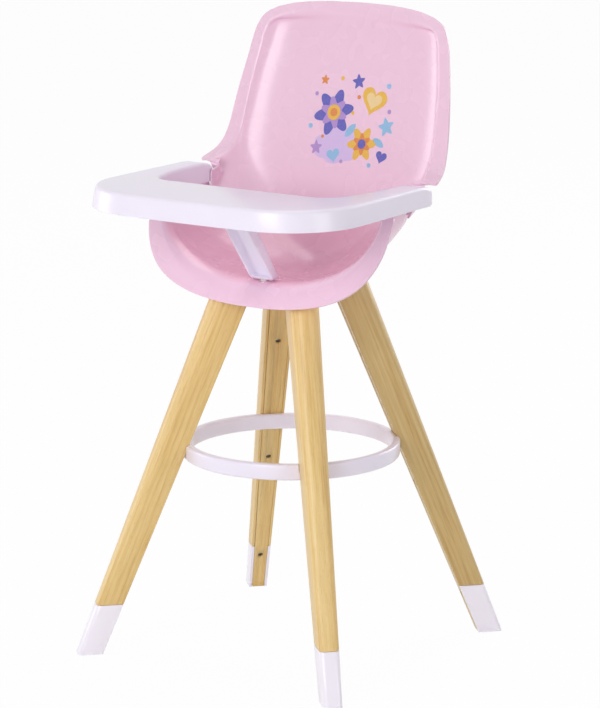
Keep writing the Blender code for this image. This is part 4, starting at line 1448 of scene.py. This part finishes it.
    def build(self) -> None:
        """Builds and dresses the tray with its pivot pins and screw bosses."""
        plan = self.plan()
        levels = [step / self.edge_steps for step in range(self.edge_steps + 1)]
        rings = [self.ring(plan, self.wall, 1 - level, upper) for upper in (True, False) for level in levels]
        rings += [self.ring(plan, 0, level, upper) for upper in (False, True) for level in levels]
        tray = merged("flip_tray", [loft(rings, self.cap(plan))])
        low = (self.slot_x[0], self.slot_y, self.skirt - self.wall * 4)
        high = (self.slot_x[1], self.arm_end + self.wall * 4, self.slot_top)
        cut(tray, merged("slots", [box_solid(side, low, high) for side in SIDES]))
        rounded(tray, self.lip_edge, segments=2, angle=60)
        ceiling = self.top - self.wall / 2
        bosses, pilots, pins = [], [], []
        for side in SIDES:
            x, y = side * POST_SCREW_SEAT[0], POST_SCREW_SEAT[1]
            ends = (self.boss_foot, ceiling)
            bosses.append(rod(*[(x, y, z) for z in ends], self.boss_radius, self.boss_edge))
            holes = [(x, y, z - self.pilot_reach) for z in ends]
            pilots.append(rod(*holes, self.pilot_radius, self.pin_edge))
            spans = (self.arm_inner_end + self.wall / 2, self.half_width - self.wall / 2)
            pins.append(rod(*[(side * span, *HINGE) for span in spans], self.pin_radius, self.pin_edge))
        stand_offs = cut(merged("bosses", bosses), merged("pilots", pilots))
        join(join(tray, stand_offs), merged("pins", pins))
        smooth(tray, angle=36, reach=self.weld)
        finish_piece(tray, TRAY_PLASTIC.material("tray_plastic"), Body.TRAY, ["tray"])


# Seat shell


@dataclass
class Sheet:
    """Collects points and quads of an open surface."""

    points: list[Vector] = field(default_factory=list)
    faces: list[Face] = field(default_factory=list)

    def add(self, point: Vector) -> int:
        """Adds a point and gives its number."""
        self.points.append(point.copy())
        return len(self.points) - 1

    def strips(self, lines: Sequence[Sequence[int]]) -> None:
        """Joins neighbouring lines of points with quads.

        Args:
            lines: Lines of point numbers.
        """
        for left, right in zip(lines, lines[1:]):
            for step in range(len(left) - 1):
                self.faces.append((left[step], left[step + 1], right[step + 1], right[step]))


@dataclass
class SeatShell:
    """Moulded bucket seat: a smooth wall with front flange, turned-out rim, tray ears and leg plugs."""

    leg: LegShape
    wall: float = 0.0025
    weld: float = 3e-5
    snap: float = 3e-5
    # Y and height of a point on the front flange's plane, and the plane's slope.
    lip_plane: Triple = (-0.0505, 0.453, 0.420)
    # Half width, top, depth and power of the mouth's curve.
    mouth: tuple[float, float, float, float] = (0.1365, 0.4868, 0.0800, 2.2)
    # X and height along the front flange's outer edge, from the mid plane.
    lip_edge: tuple[Pair, ...] = (
        (0.0000, 0.3832), (0.0267, 0.3838), (0.0534, 0.3862), (0.0840, 0.3919), (0.1093, 0.4016),
        (0.1250, 0.4118), (0.1371, 0.4251), (0.1450, 0.4400), (0.1495, 0.4560), (0.1519, 0.4865),
    )
    # Y and height of each wall row on the mid plane, and the power of its bend.
    centre_rows: tuple[Triple, ...] = (
        (-0.0480, 0.4066, 2.15), (-0.0230, 0.4046, 2.10), (0.0030, 0.4040, 1.90), (0.0220, 0.4046, 1.60),
        (0.0350, 0.4062, 1.42), (0.0460, 0.4095, 1.38), (0.0560, 0.4160, 1.40), (0.0635, 0.4250, 1.50),
        (0.0710, 0.4395, 1.68), (0.0790, 0.4620, 1.95), (0.0890, 0.4980, 2.25), (0.0975, 0.5290, 2.50),
        (0.1050, 0.5560, 2.70), (0.1115, 0.5800, 2.80), (0.1175, 0.6020, 2.90), (0.1228, 0.6215, 3.00),
        (0.1266, 0.6370, 3.05), (0.1288, 0.6490, 3.05), (0.1300, 0.6565, 3.00),
    )
    floor_row: int = 2
    # Ends of the rows under the tray's arms.
    arm_wall_top: tuple[Triple, ...] = (
        (0.1357, -0.0330, 0.4878), (0.1356, -0.0100, 0.4925),
        (0.1356, 0.0150, 0.4960), (0.1358, 0.0330, 0.5020),
    )
    # Outer edge of the rim, from the arm's end to the top corner.
    rim_edge: tuple[Triple, ...] = (
        (0.1500, 0.0458, 0.5088), (0.1490, 0.0540, 0.5124),
        (0.1468, 0.0640, 0.5166), (0.1443, 0.0720, 0.5222),
        (0.1418, 0.0790, 0.5312), (0.1393, 0.0862, 0.5469),
        (0.1363, 0.0932, 0.5727), (0.1332, 0.0988, 0.5925),
        (0.1302, 0.1032, 0.6090), (0.1273, 0.1072, 0.6245),
        (0.1248, 0.1098, 0.6375), (0.1222, 0.1123, 0.6478),
        (0.1189, 0.1147, 0.6558), (0.1150, 0.1168, 0.6614),
        (0.1092, 0.1190, 0.6662), (0.0980, 0.1222, 0.6712),
    )
    # Widths of the rim's first rows, which rim_width goes on from.
    rim_widths: tuple[float, ...] = (0.0142, 0.0168, 0.0188, 0.0190, 0.0180, 0.0165, 0.0150, 0.0140, 0.0134)
    # Outer edge of the rim, from the top corner to the mid plane.
    top_edge: tuple[Triple, ...] = (
        (0.0980, 0.1222, 0.6712), (0.0750, 0.1270, 0.6762), (0.0400, 0.1308, 0.6792), (0.0, 0.1320, 0.6800),
    )
    rim_width: float = 0.0130
    rim_fillet: float = 0.0045
    recline: float = math.radians(14.6)
    lip_fillet_share: Pair = (0.95, 0.28)
    corner_turn: int = 4
    last_row_share: float = 0.75
    columns: int = 13
    bend_steps: int = 3
    lip_steps: int = 5
    edge_steps: int = 3
    levels: int = 2
    edge: float = 0.0008
    ear_x: Pair = (0.1299, 0.1380)
    ear_radius: float = 0.0064
    ear_edge: float = 0.0004
    hole_x: Pair = (0.120, 0.148)
    hole_edge: float = 0.0002
    pin_clearance: float = 0.0032
    bracket_half: float = 0.0045
    # Height of each level, and X of its inner and outer face at the front and at the back.
    bracket_levels: tuple[tuple[float, Pair, Pair], ...] = (
        (0.4742, (0.1283, 0.1235), (0.1315, 0.1271)), (0.4797, (0.1309, 0.1273), (0.1347, 0.1327)),
        (0.4877, (0.1303, 0.1303), (0.1373, 0.1373)), (0.4965, (0.1303, 0.1303), (0.1374, 0.1374)),
    )
    # Boxes that are cut out for the tray's right arm, and mirrored.
    openings: tuple[tuple[Triple, Triple], ...] = (
        ((0.1149, -0.0360, 0.4905), (0.1700, 0.0123, 0.5300)),
        ((0.1149, 0.0123, 0.4804), (0.1700, 0.0290, 0.5300)),
    )
    slot: tuple[Triple, Triple] = ((-0.0042, -0.0570, 0.3740), (0.0042, -0.0476, 0.4178))
    cut_margin: float = 0.012
    recess_x: float = 0.1229
    recess_free: float = 0.1420
    recess_soft: float = 0.0009
    recess_blend: Pair = (-8.0, 40.0)
    # Y where the wall starts to draw in, is drawn in, starts back and is back.
    recess_y: tuple[float, float, float, float] = (0.0100, 0.0290, 0.0478, 0.0640)
    recess_step: float = 0.0454
    recess_fade: Pair = (0.4965, 0.5030)
    plug_shares: Triple = (0.0, 0.35, 0.7)
    under_seat: float = 0.3

    def lip_y(self, z: float) -> float:
        """Y of the front flange's plane at this height."""
        y, height, slope = self.lip_plane
        return y + slope * (z - height)

    def flange(self) -> tuple[list[Vector], list[Vector]]:
        """Draws the turned-out rim, up its rows and then along the top.

        Returns:
            The points of its outer edge, and the outward way at each.
        """
        path = [Vector(point) for point in self.rim_edge]
        path += smooth_path(self.top_edge, self.columns)[1:]
        plane = Vector((0, -math.cos(self.recline), math.sin(self.recline)))
        lengths = lengths_along(path)
        ways = []
        for length in lengths:
            before = along_path(path, max(length - self.rim_width / 2, 0) / lengths[-1])
            after = along_path(path, min((length + self.rim_width / 2) / lengths[-1], 1))
            along = (after - before).normalized()
            flat = Vector((0, -along.z, along.y))
            facing = plane.lerp(flat.normalized(), min(flat.length, 1) ** 2) if flat.length > 0 else plane
            out = along.cross(facing)
            if out.x + out.z < 0:
                out.negate()
            ways.append(out.normalized())
        return path, ways

    @staticmethod
    def wall_row(centre: Point, rim: Vector, power: float, shares: Sequence[float]) -> list[Vector]:
        """Draws one row of the wall.

        Args:
            centre: Y and height of the row on the mid plane.
            rim: The point that it ends on.
            power: How square its bend is.
            shares: Places across the seat, from the mid plane to the rim.

        Returns:
            The row's points.
        """
        row = []
        for share in shares:
            rise = 1 - max(1 - share**power, 0) ** (1 / power)
            row.append(Vector((rim.x * share, lerp(centre[0], rim.y, rise), lerp(centre[1], rim.z, rise))))
        return row

    def trimmed(self, row: Sequence[Vector]) -> list[Vector]:
        """Draws a row's end back along the wall by the rim's fillet.

        Args:
            row: The row's points.

        Returns:
            As many points on the shorter row.
        """
        points = list(row)
        left = self.rim_fillet
        while (points[-1] - points[-2]).length < left and len(points) > 2:
            left -= (points[-1] - points[-2]).length
            points.pop()
        points[-1] = points[-1] + (points[-2] - points[-1]).normalized() * left
        spans = lengths_along(row)
        return [along_path(points, min(span / spans[-1], 1)) for span in spans]

    @staticmethod
    def top_rim(
        path: Sequence[Vector], ways: Sequence[Vector], shares: Sequence[float],
    ) -> list[tuple[Vector, Vector]]:
        """Finds the top rim above each column.

        Args:
            path: Outer edge of the rim along the top.
            ways: Its outward ways.
            shares: Places of the columns, from the mid plane to the rim's corner.

        Returns:
            The edge's point and outward way at each column.
        """
        found = []
        for share in shares:
            wanted = path[0].x * share
            number = min(range(len(path)), key=lambda item: abs(path[item].x - wanted))
            near = path[number]
            far = path[min(max(number + (1 if near.x > wanted else -1), 0), len(path) - 1)]
            mix = 0 if near.x == far.x else (near.x - wanted) / (near.x - far.x)
            way = ways[number].copy()
            if share == 0:
                way.x = 0
                way.normalize()
            found.append((near.lerp(far, min(max(mix, 0), 1)), way))
        return found

    def half(self) -> Sheet:
        """Draws the right half of the inner face with its flange and rim.

        Returns:
            The half as an open surface.
        """
        edge, outward = self.flange()
        shares = [math.sin(QUARTER * step / self.columns) for step in range(self.columns + 1)]
        under_arm = len(self.arm_wall_top)
        rows, corners = [], []
        for number, (y, z, power) in enumerate(self.centre_rows):
            if number < under_arm:
                corner = Vector(self.arm_wall_top[number])
                rows.append(self.wall_row((y, z), corner, power, shares))
            else:
                index = number - under_arm
                width = self.rim_widths[index] if index < len(self.rim_widths) else self.rim_width
                corner = edge[index] - outward[index] * width
                rows.append(self.trimmed(self.wall_row((y, z), corner, power, shares)))
            corners.append(corner)
        corner_index = len(self.rim_edge) - 1
        top = self.top_rim(edge[corner_index:], outward[corner_index:], shares)
        top_corner = [point - way * self.rim_width for point, way in top]
        last = []
        for step, (corner, point) in enumerate(zip(top_corner, rows[-1])):
            inner = rows[-1][max(step - 1, 0)]
            back = point.lerp(inner, shares[step] ** self.corner_turn) - corner
            reach = min(self.rim_fillet, back.length * self.last_row_share)
            last.append(corner + back.normalized() * reach)
        rows.append(last)
        sheet = Sheet()
        grid = [[sheet.add(point) for point in row] for row in rows]
        sheet.strips(grid)
        self.add_flange(sheet, grid[0], shares)
        spokes = []
        for index in range(corner_index):
            row = under_arm + index
            spokes.append(self.spoke(sheet, grid[row][-1], corners[row], outward[index], edge[index]))
        for step in range(self.columns, -1, -1):
            outer, way = top[step]
            spokes.append(self.spoke(sheet, grid[-1][step], top_corner[step], way, outer))
        sheet.strips(spokes)
        for point in sheet.points:
            if abs(point.x) < self.snap:
                point.x = 0
        return sheet

    def spoke(self, sheet: Sheet, foot: int, corner: Vector, way: Vector, outer: Vector) -> list[int]:
        """Line of points from the wall round the fillet and out to the rim's edge."""
        curve = bend(sheet.points[foot], corner, corner + way * self.rim_fillet, self.bend_steps)
        return [foot, *[sheet.add(point) for point in curve], sheet.add(outer)]

    def add_flange(self, sheet: Sheet, feet: Sequence[int], shares: Sequence[float]) -> None:
        """Adds the front flange from the mouth's corner line out to its edge.

        Args:
            sheet: The surface that it is added to.
            feet: Point numbers of the wall's first row.
            shares: Places across the seat, from the mid plane to the rim.
        """
        half_width, top, depth, power = self.mouth
        mouth = []
        for share in shares:
            z = top - depth * max(1 - share**power, 0) ** (1 / power)
            mouth.append(Vector((half_width * share, self.lip_y(z), z)))
        lengths = lengths_along(mouth)
        lip = smooth_path([(x, self.lip_y(z), z) for x, z in self.lip_edge], self.edge_steps)
        spokes = []
        for share, corner, length, foot in zip(shares, mouth, lengths, feet):
            outer = along_path(lip, length / lengths[-1])
            end = corner.lerp(outer, lerp(*self.lip_fillet_share, share))
            curve = bend(sheet.points[foot], corner, end, self.lip_steps)
            spokes.append([foot, *[sheet.add(point) for point in curve], sheet.add(outer)])
        sheet.strips(spokes)

    def skin(self) -> Piece:
        """Builds both halves of the inner face, subdivided so that it runs through the drawn points.

        Returns:
            The skin, still without thickness.
        """
        sheet = self.half()
        shell = new_object("seat", sheet.points, sheet.faces)
        mirror = shell.modifiers.new("halves", "MIRROR")
        mirror.use_clip = True
        mirror.merge_threshold = self.snap
        settle(shell)
        floor = Vector((0, 0, self.centre_rows[self.floor_row][1]))
        near = min(shell.data.polygons, key=lambda face: (face.center - floor).length)
        if near.normal.z < 0:
            shell.data.flip_normals()
        finer = shell.modifiers.new("finer", "SUBSURF")
        finer.levels = self.levels
        finer.render_levels = self.levels
        graph = bpy.context.evaluated_depsgraph_get()
        graph.update()
        seen = shell.evaluated_get(graph).data.vertices
        steps = [vertex.co - point.co for vertex, point in zip(shell.data.vertices, seen)]
        for vertex, step in zip(shell.data.vertices, steps):
            vertex.co += step
        shell.data.update()
        return settle(shell)

    def tuck_in(self, shell: Piece) -> None:
        """Draws the wall in beside each arm's end, where it stays clear of the arm and of its swing.

        Args:
            shell: The skin, still without thickness.
        """
        front, near, back, far = self.recess_y
        low, high = self.recess_fade
        for vertex in shell.data.vertices:
            x, y, z = vertex.co - FRAME_SHIFT
            if not front < y < far:
                continue
            share = ease((y - front) / (near - front)) * (1 - ease((y - back) / (far - back)))
            limit = lerp(self.recess_free, self.recess_x, share)
            gap = (abs(x) - limit) / self.recess_soft
            if gap < self.recess_blend[0]:
                continue
            soft = self.recess_soft * math.log1p(math.exp(-gap)) if gap < self.recess_blend[1] else 0
            weight = 1 if y < self.recess_step else 1 - ease((z - low) / (high - low))
            vertex.co.x = math.copysign(lerp(abs(x), limit - soft, weight), x)
        shell.data.update()

    def open_up(self, shell: Piece) -> None:
        """Cuts the steps for the tray's arms and the post's slot out of the skin.

        Args:
            shell: The skin, still without thickness.
        """
        boxes = [self.slot]
        for low, high in self.openings:
            boxes += [(low, high), ((-high[0], *low[1:]), (-low[0], *high[1:]))]
        margin = Vector((self.cut_margin,) * 3)
        with mesh_work(shell.data) as work:
            for box in boxes:
                low, high = (Vector(corner) + FRAME_SHIFT for corner in box)
                for axis in range(3):
                    normal = Vector((axis == 0, axis == 1, axis == 2))
                    for spot in (normal * low[axis], normal * high[axis]):
                        near = [face for face in work.faces if inside_box(face, low - margin, high + margin)]
                        edges = {edge for face in near for edge in face.edges}
                        verts = {vert for face in near for vert in face.verts}
                        parts = [*near, *edges, *verts]
                        bmesh.ops.bisect_plane(
                            work, geom=parts, dist=SAME_SPOT, plane_co=spot, plane_no=normal,
                        )
                gone = [face for face in work.faces if inside_box(face, low, high)]
                bmesh.ops.delete(work, geom=gone, context="FACES")

    def ears(self) -> Piece:
        """Builds the pivot ears on their brackets.

        Returns:
            The ears, with the holes for the tray's pins.
        """
        front, back = HINGE[0] - self.bracket_half, HINGE[0] + self.bracket_half
        brackets, discs, holes = [], [], []
        for side in SIDES:
            rings = []
            for level, inner, outer in self.bracket_levels:
                corners = ((inner[0], front), (outer[0], front), (outer[1], back), (inner[1], back))
                rings.append([(side * x, y, level) for x, y in corners])
            brackets.append(loft(rings))
            discs.append(rod(*[(side * x, *HINGE) for x in self.ear_x], self.ear_radius, self.ear_edge))
            holes.append(rod(*[(side * x, *HINGE) for x in self.hole_x], self.pin_clearance, self.hole_edge))
        return join(*[cut(merged("ears", solids), merged("holes", holes)) for solids in (brackets, discs)])

    def plugs(self, skin: BVHTree) -> Piece:
        """Builds the plugs under the seat that stand in the open leg tops.

        Args:
            skin: Search tree of the seat's wall.

        Returns:
            The plugs, each with the pilot hole of its screw.
        """
        leg = self.leg
        solids, holes = [], []
        for number in range(len(LEG_NAMES)):
            foot = [leg.placed(number, point) for point in leg.plug_ring(leg.plug_bottom)]
            top = [leg.placed(number, point) for point in leg.plug_ring(leg.top)]
            centre = sum(top, Vector()) / len(top)
            rings = [foot]
            for share in self.plug_shares:
                ring = []
                for point in top:
                    spot = point.lerp(centre, share)
                    below = Vector((spot.x, spot.y, self.under_seat)) + FRAME_SHIFT
                    hit = skin.ray_cast(below, Vector((0, 0, 1)))[0]
                    ring.append((spot.x, spot.y, hit.z + self.wall / 2))
                rings.append(ring)
            solids.append(loft(rings))
            depths = (leg.cup_depth, leg.cup_depth + leg.pilot_depth)
            ends = [leg.placed(number, leg.on_face(leg.screw_levels[-1], depth)) for depth in depths]
            holes.append(rod(*ends, leg.pilot_radius, self.hole_edge))
        return cut(merged("plugs", solids), merged("holes", holes))

    def build(self) -> Piece:
        """Builds and dresses the seat shell.

        Returns:
            The finished shell, which the print is laid on.
        """
        shell = self.skin()
        self.tuck_in(shell)
        self.open_up(shell)
        solid = shell.modifiers.new("wall", "SOLIDIFY")
        solid.thickness = self.wall
        solid.offset = -1
        solid.use_quality_normals = True
        skin = skin_of(settle(shell))
        rounded(shell, self.edge)
        join(join(shell, self.ears()), self.plugs(skin))
        smooth(shell, angle=40, reach=self.weld)
        finish_piece(shell, SHELL_PLASTIC.material("shell_plastic"), Body.STAND, ["seat_shell"])
        return shell


def inside_box(face: bmesh.types.BMFace, low: Vector, high: Vector) -> bool:
    """Whether the middle of a face lies between two corners."""
    middle = face.calc_center_median()
    return all(low[axis] < middle[axis] < high[axis] for axis in range(3))


# Print on the backrest


class Motif(Enum):
    """Outlines of the backrest's print, of unit size about their middle."""

    PETAL = "petal"
    HEART = "heart"
    STAR = "star"
    DOT = "dot"
    CLOUD = "cloud"
    LEAF = "leaf"

    def spot(self, angle: float) -> Vector:
        """Finds one point of the outline.

        Args:
            angle: Its angle about the middle.

        Returns:
            The point.
        """
        x, y = math.cos(angle), math.sin(angle)
        if self is Motif.HEART:
            height = 13 * x - 5 * math.cos(2 * angle) - 2 * math.cos(3 * angle) - math.cos(4 * angle)
            return Vector((-16 * y**3 / 17, (height + 2) / 17))
        if self is Motif.LEAF:
            return Vector((x, 0.46 * y * abs(y) ** 0.5))
        if self is Motif.CLOUD:
            return Vector((x * 1.3, 0.8 * y)) * (0.86 + 0.14 * abs(math.cos(3.5 * angle)))
        if self is Motif.PETAL:
            return Vector((x, y)) * (0.79 + 0.21 * math.cos(6 * angle))
        if self is Motif.STAR:
            share = abs(((angle - QUARTER) * 5 / math.tau) % 1 - 0.5) * 2
            return Vector((x, y)) * lerp(0.50, 1.0, share**1.6)
        return Vector((x, y))

    def outline(self, detail: int = 72) -> list[Vector]:
        """Points round the outline, against the clock."""
        return [self.spot(angle) for angle in round_angles(detail)]


@dataclass(frozen=True)
class Stamp:
    """One inked shape: motif, ink, layer, place in millimetres from the print's middle, size and turn."""

    motif: Motif
    ink: Ink
    layer: int
    x: float
    z: float
    size: float
    turn: float = 0.0


STAMPS = (
    Stamp(Motif.CLOUD, Ink.PALE_LILAC, 0, -10, -26, 24.0, 0.10),
    Stamp(Motif.PETAL, Ink.VIOLET, 1, -21, 8, 25.0, 0.26),
    Stamp(Motif.PETAL, Ink.LILAC, 2, -21, 8, 17.0, 0.26 + math.pi / 6),
    Stamp(Motif.DOT, Ink.YELLOW, 3, -21, 8, 8.2),
    Stamp(Motif.DOT, Ink.ORANGE, 4, -21, 8, 4.4),
    Stamp(Motif.HEART, Ink.YELLOW, 1, 27, 22, 17.0, -0.22),
    Stamp(Motif.HEART, Ink.CREAM, 2, 27, 22.5, 10.5, -0.22),
    Stamp(Motif.PETAL, Ink.YELLOW, 1, 20, -22, 18.5, 0.1),
    Stamp(Motif.PETAL, Ink.ORANGE, 2, 20, -22, 11.5, 0.1 + math.pi / 6),
    Stamp(Motif.DOT, Ink.VIOLET, 3, 20, -22, 5.0),
    Stamp(Motif.STAR, Ink.SKY, 1, 48, -2, 10.5, 0.3),
    Stamp(Motif.STAR, Ink.VIOLET, 1, 5, 42, 8.5, 0.2),
    Stamp(Motif.STAR, Ink.LILAC, 1, -37, -30, 8.0, 0.1),
    Stamp(Motif.HEART, Ink.SKY, 1, -14, -37, 8.5, 0.25),
    Stamp(Motif.HEART, Ink.VIOLET, 1, 47, -34, 7.5, -0.2),
    Stamp(Motif.LEAF, Ink.SKY, 1, 3, -9, 9.0, 0.9),
    Stamp(Motif.LEAF, Ink.SKY, 1, 41, -19, 8.0, -0.5),
    Stamp(Motif.STAR, Ink.ORANGE, 1, -38, 41, 5.6),
    Stamp(Motif.DOT, Ink.LILAC, 1, 49, 14, 2.4),
    Stamp(Motif.DOT, Ink.SKY, 1, 44, 40, 2.8),
    Stamp(Motif.DOT, Ink.ORANGE, 1, 8, 26, 2.2),
    Stamp(Motif.DOT, Ink.LILAC, 1, -3, -42, 2.0),
    Stamp(Motif.DOT, Ink.SKY, 1, -48, -8, 2.6),
    Stamp(Motif.DOT, Ink.LILAC, 1, -46, 26, 2.2),
    Stamp(Motif.DOT, Ink.YELLOW, 1, -16, 44, 2.2),
    Stamp(Motif.DOT, Ink.SKY, 1, 33, -43, 2.4),
    Stamp(Motif.DOT, Ink.YELLOW, 1, 3, 9, 2.0),
    Stamp(Motif.DOT, Ink.ORANGE, 1, -31, -18, 1.8),
)


@dataclass
class BackrestPrint:
    """Generic nursery print of flowers, hearts, stars and dots on the backrest's inner face."""

    middle: Pair = (0.0040, 0.5550)
    lift: float = 0.00010
    layer_lift: float = 0.00005
    depth: float = 0.00012
    grid: float = 0.0022
    clear_share: float = 0.45
    join_distance: float = 1e-7
    start_y: float = -0.05

    def net(self, line: Sequence[Vector]) -> tuple[Sequence[Vector], list[Face]]:
        """Fills an outline with an even net, fine enough to follow the backrest.

        Args:
            line: Points round the outline.

        Returns:
            The flat net's points and triangles.
        """
        low = Vector((min(p.x for p in line), min(p.y for p in line)))
        high = Vector((max(p.x for p in line), max(p.y for p in line)))
        columns = math.ceil((high.x - low.x) / self.grid)
        rows = math.ceil((high.y - low.y) / self.grid)
        inner = []
        for column in range(1, columns):
            for row in range(1, rows):
                spot = Vector((lerp(low.x, high.x, column / columns), lerp(low.y, high.y, row / rows)))
                if min((spot - point).length for point in line) > self.grid * self.clear_share:
                    inner.append(spot)
        around = [list(range(len(line)))]
        flat, _, triangles = delaunay_2d_cdt([*line, *inner], [], around, 1, self.join_distance)[:3]
        return flat, [tuple(face) for face in triangles]

    def patch(self, stamp: Stamp, skin: BVHTree) -> Solid:
        """Draws one shape as a thin closed solid, laid on the backrest.

        Args:
            stamp: The shape.
            skin: Search tree of the seat's surface.

        Returns:
            Its points and faces.
        """
        spin = Matrix.Rotation(stamp.turn, 2)
        scale = stamp.size / PER_METRE
        flat, faces = self.net([spin @ (point * scale) for point in stamp.motif.outline()])
        rise = self.lift + self.layer_lift * stamp.layer
        top, bottom = [], []
        for spot in flat:
            x = self.middle[0] + stamp.x / PER_METRE + spot.x
            z = self.middle[1] + stamp.z / PER_METRE + spot.y
            hit, normal = skin.ray_cast(Vector((x, self.start_y, z)) + FRAME_SHIFT, Vector((0, 1, 0)))[:2]
            if normal.y > 0:
                normal = -normal
            top.append(hit + normal * rise)
            bottom.append(hit - normal * self.depth)
        count = len(flat)
        corners = [(face, step) for face in faces for step in range(len(face))]
        sides = dict.fromkeys((face[step], face[(step + 1) % len(face)]) for face, step in corners)
        under = [tuple(count + corner for corner in reversed(face)) for face in faces]
        walls = [(two, one, count + one, count + two) for one, two in sides if (two, one) not in sides]
        return [point - FRAME_SHIFT for point in top + bottom], [*faces, *under, *walls]

    def build(self, shell: Piece) -> None:
        """Builds and dresses one piece for each ink.

        Args:
            shell: The finished seat shell.
        """
        skin = skin_of(shell)
        for ink in Ink:
            solids = [self.patch(stamp, skin) for stamp in STAMPS if stamp.ink is ink]
            name = f"print_{ink.name.lower()}"
            piece = smooth(merged(name, solids), angle=50)
            finish_piece(piece, PadPrintInk(ink).material(f"{name}_ink"), Body.STAND)


# Studio


@dataclass(frozen=True)
class Lamp:
    """One soft square lamp: its place, the length of its sides in metres and its power in watts."""

    name: str
    spot: Triple
    size: float
    power: float

    def hang(self, aim: Point) -> None:
        """Hangs the lamp.

        Args:
            aim: The point that it faces.
        """
        data = bpy.data.lights.new(self.name, "AREA")
        data.shape = "SQUARE"
        data.size = self.size
        data.energy = self.power
        lamp = linked(self.name, data)
        lamp.location = self.spot
        lamp.rotation_euler = (Vector(aim) - Vector(self.spot)).to_track_quat("-Z", "Y").to_euler()
        lamp.visible_camera = False


@dataclass
class Studio:
    """Pale floor, soft lamps, bright surround and the camera."""

    camera_spot: Triple = (1.88703, -2.74650, 1.06475)
    heading: float = 0.59721
    pitch: float = -0.21977
    sensor: float = 36.0
    focal_share: float = 3220.96 / 708
    view_end: float = 100.0
    floor_reach: float = 30.0
    paper_tones: Pair = (0.86, 0.90)
    tooth_scale: float = 14.0
    white_share: float = 0.97
    surround: float = 0.36
    aim: Triple = (0, 0, 0.42)
    lamps: tuple[Lamp, ...] = (
        Lamp("key", (0.0, -3.5, 1.65), 1.7, 47.0),
        Lamp("front", (0.9, -3.6, 0.6), 1.5, 13.0),
        Lamp("left", (-3.3, -0.8, 0.7), 1.6, 23.0),
        Lamp("right", (3.2, -0.6, 0.9), 1.2, 13.0),
        Lamp("rear", (0.7, 2.9, 1.3), 1.6, 26.0),
        Lamp("top", (-0.2, 0.6, 2.9), 1.4, 16.0),
    )

    def camera(self) -> None:
        """Sets up the camera at the photograph's angle."""
        data = bpy.data.cameras.new("camera")
        data.sensor_fit = "AUTO"
        data.sensor_width = self.sensor
        data.lens = self.sensor * self.focal_share
        data.clip_end = self.view_end
        camera = linked("camera", data)
        camera.location = self.camera_spot
        camera.rotation_euler = (QUARTER + self.pitch, 0, self.heading)
        bpy.context.scene.camera = camera

    @staticmethod
    def shown_white(board: NodeBoard) -> Socket:
        """Tells rays of light from rays that are seen.

        Args:
            board: Board of the tree that asks.

        Returns:
            One for rays from the camera, mirrors and glass.
        """
        path = board.add("ShaderNodeLightPath").outputs
        first = board.math("MAXIMUM", path["Is Camera Ray"], path["Is Glossy Ray"])
        return board.math("MAXIMUM", first, path["Is Transmission Ray"])

    def floor(self) -> None:
        """Lays the pale floor, which is near white and keeps the soft shadow."""
        reach = self.floor_reach
        corners = [(-reach, -reach, 0), (reach, -reach, 0), (reach, reach, 0), (-reach, reach, 0)]
        floor = new_object("floor", corners, [(0, 1, 2, 3)], shift=Vector())
        material, board, shader = blank_material("floor_paper")
        tones = [(tone, tone, tone) for tone in self.paper_tones]
        tooth = board.noise(board.place(), self.tooth_scale, detail=3.0)
        paper = board.ramp(tooth, tuple(enumerate(tones)))
        board.feed(shader, {"Base Color": paper, "Roughness": 0.9, "Specular IOR Level": 0.0})
        glow = board.add("ShaderNodeEmission", {"Color": (1, 1, 1, 1), "Strength": 1.0}).outputs[0]
        share = board.math("MULTIPLY", self.shown_white(board), self.white_share)
        mixed = board.add("ShaderNodeMixShader", {0: share, 1: shader.outputs[0], 2: glow}).outputs[0]
        board.feed(board.tree.nodes["Material Output"], {"Surface": mixed})
        floor.data.materials.append(material)

    def world(self) -> None:
        """Fills the surround: white to the eye, softer as a light."""
        world = bpy.data.worlds.new("surround")
        world.use_nodes = True
        board = NodeBoard(world.node_tree)
        strength = board.span(self.shown_white(board), self.surround, 1.0)
        board.feed(world.node_tree.nodes["Background"], {"Color": (1, 1, 1, 1), "Strength": strength})
        bpy.context.scene.world = world

    def build(self) -> None:
        """Sets up the whole studio."""
        bpy.context.scene.view_settings.view_transform = "Standard"
        self.camera()
        self.floor()
        self.world()
        for lamp in self.lamps:
            lamp.hang(self.aim)


def main() -> None:
    """Builds every sub-assembly in order."""
    logging.basicConfig(level=logging.INFO, format="%(name)s: %(message)s")
    leg = LegShape()
    Studio().build()
    shell = SeatShell(leg).build()
    BackrestPrint().build(shell)
    FlipTray().build()
    CrotchPost().build()
    FootrestRing(leg).build()
    Legs(leg).build()
    ScrewSet(leg).build()


if __name__ == "__main__":
    main()
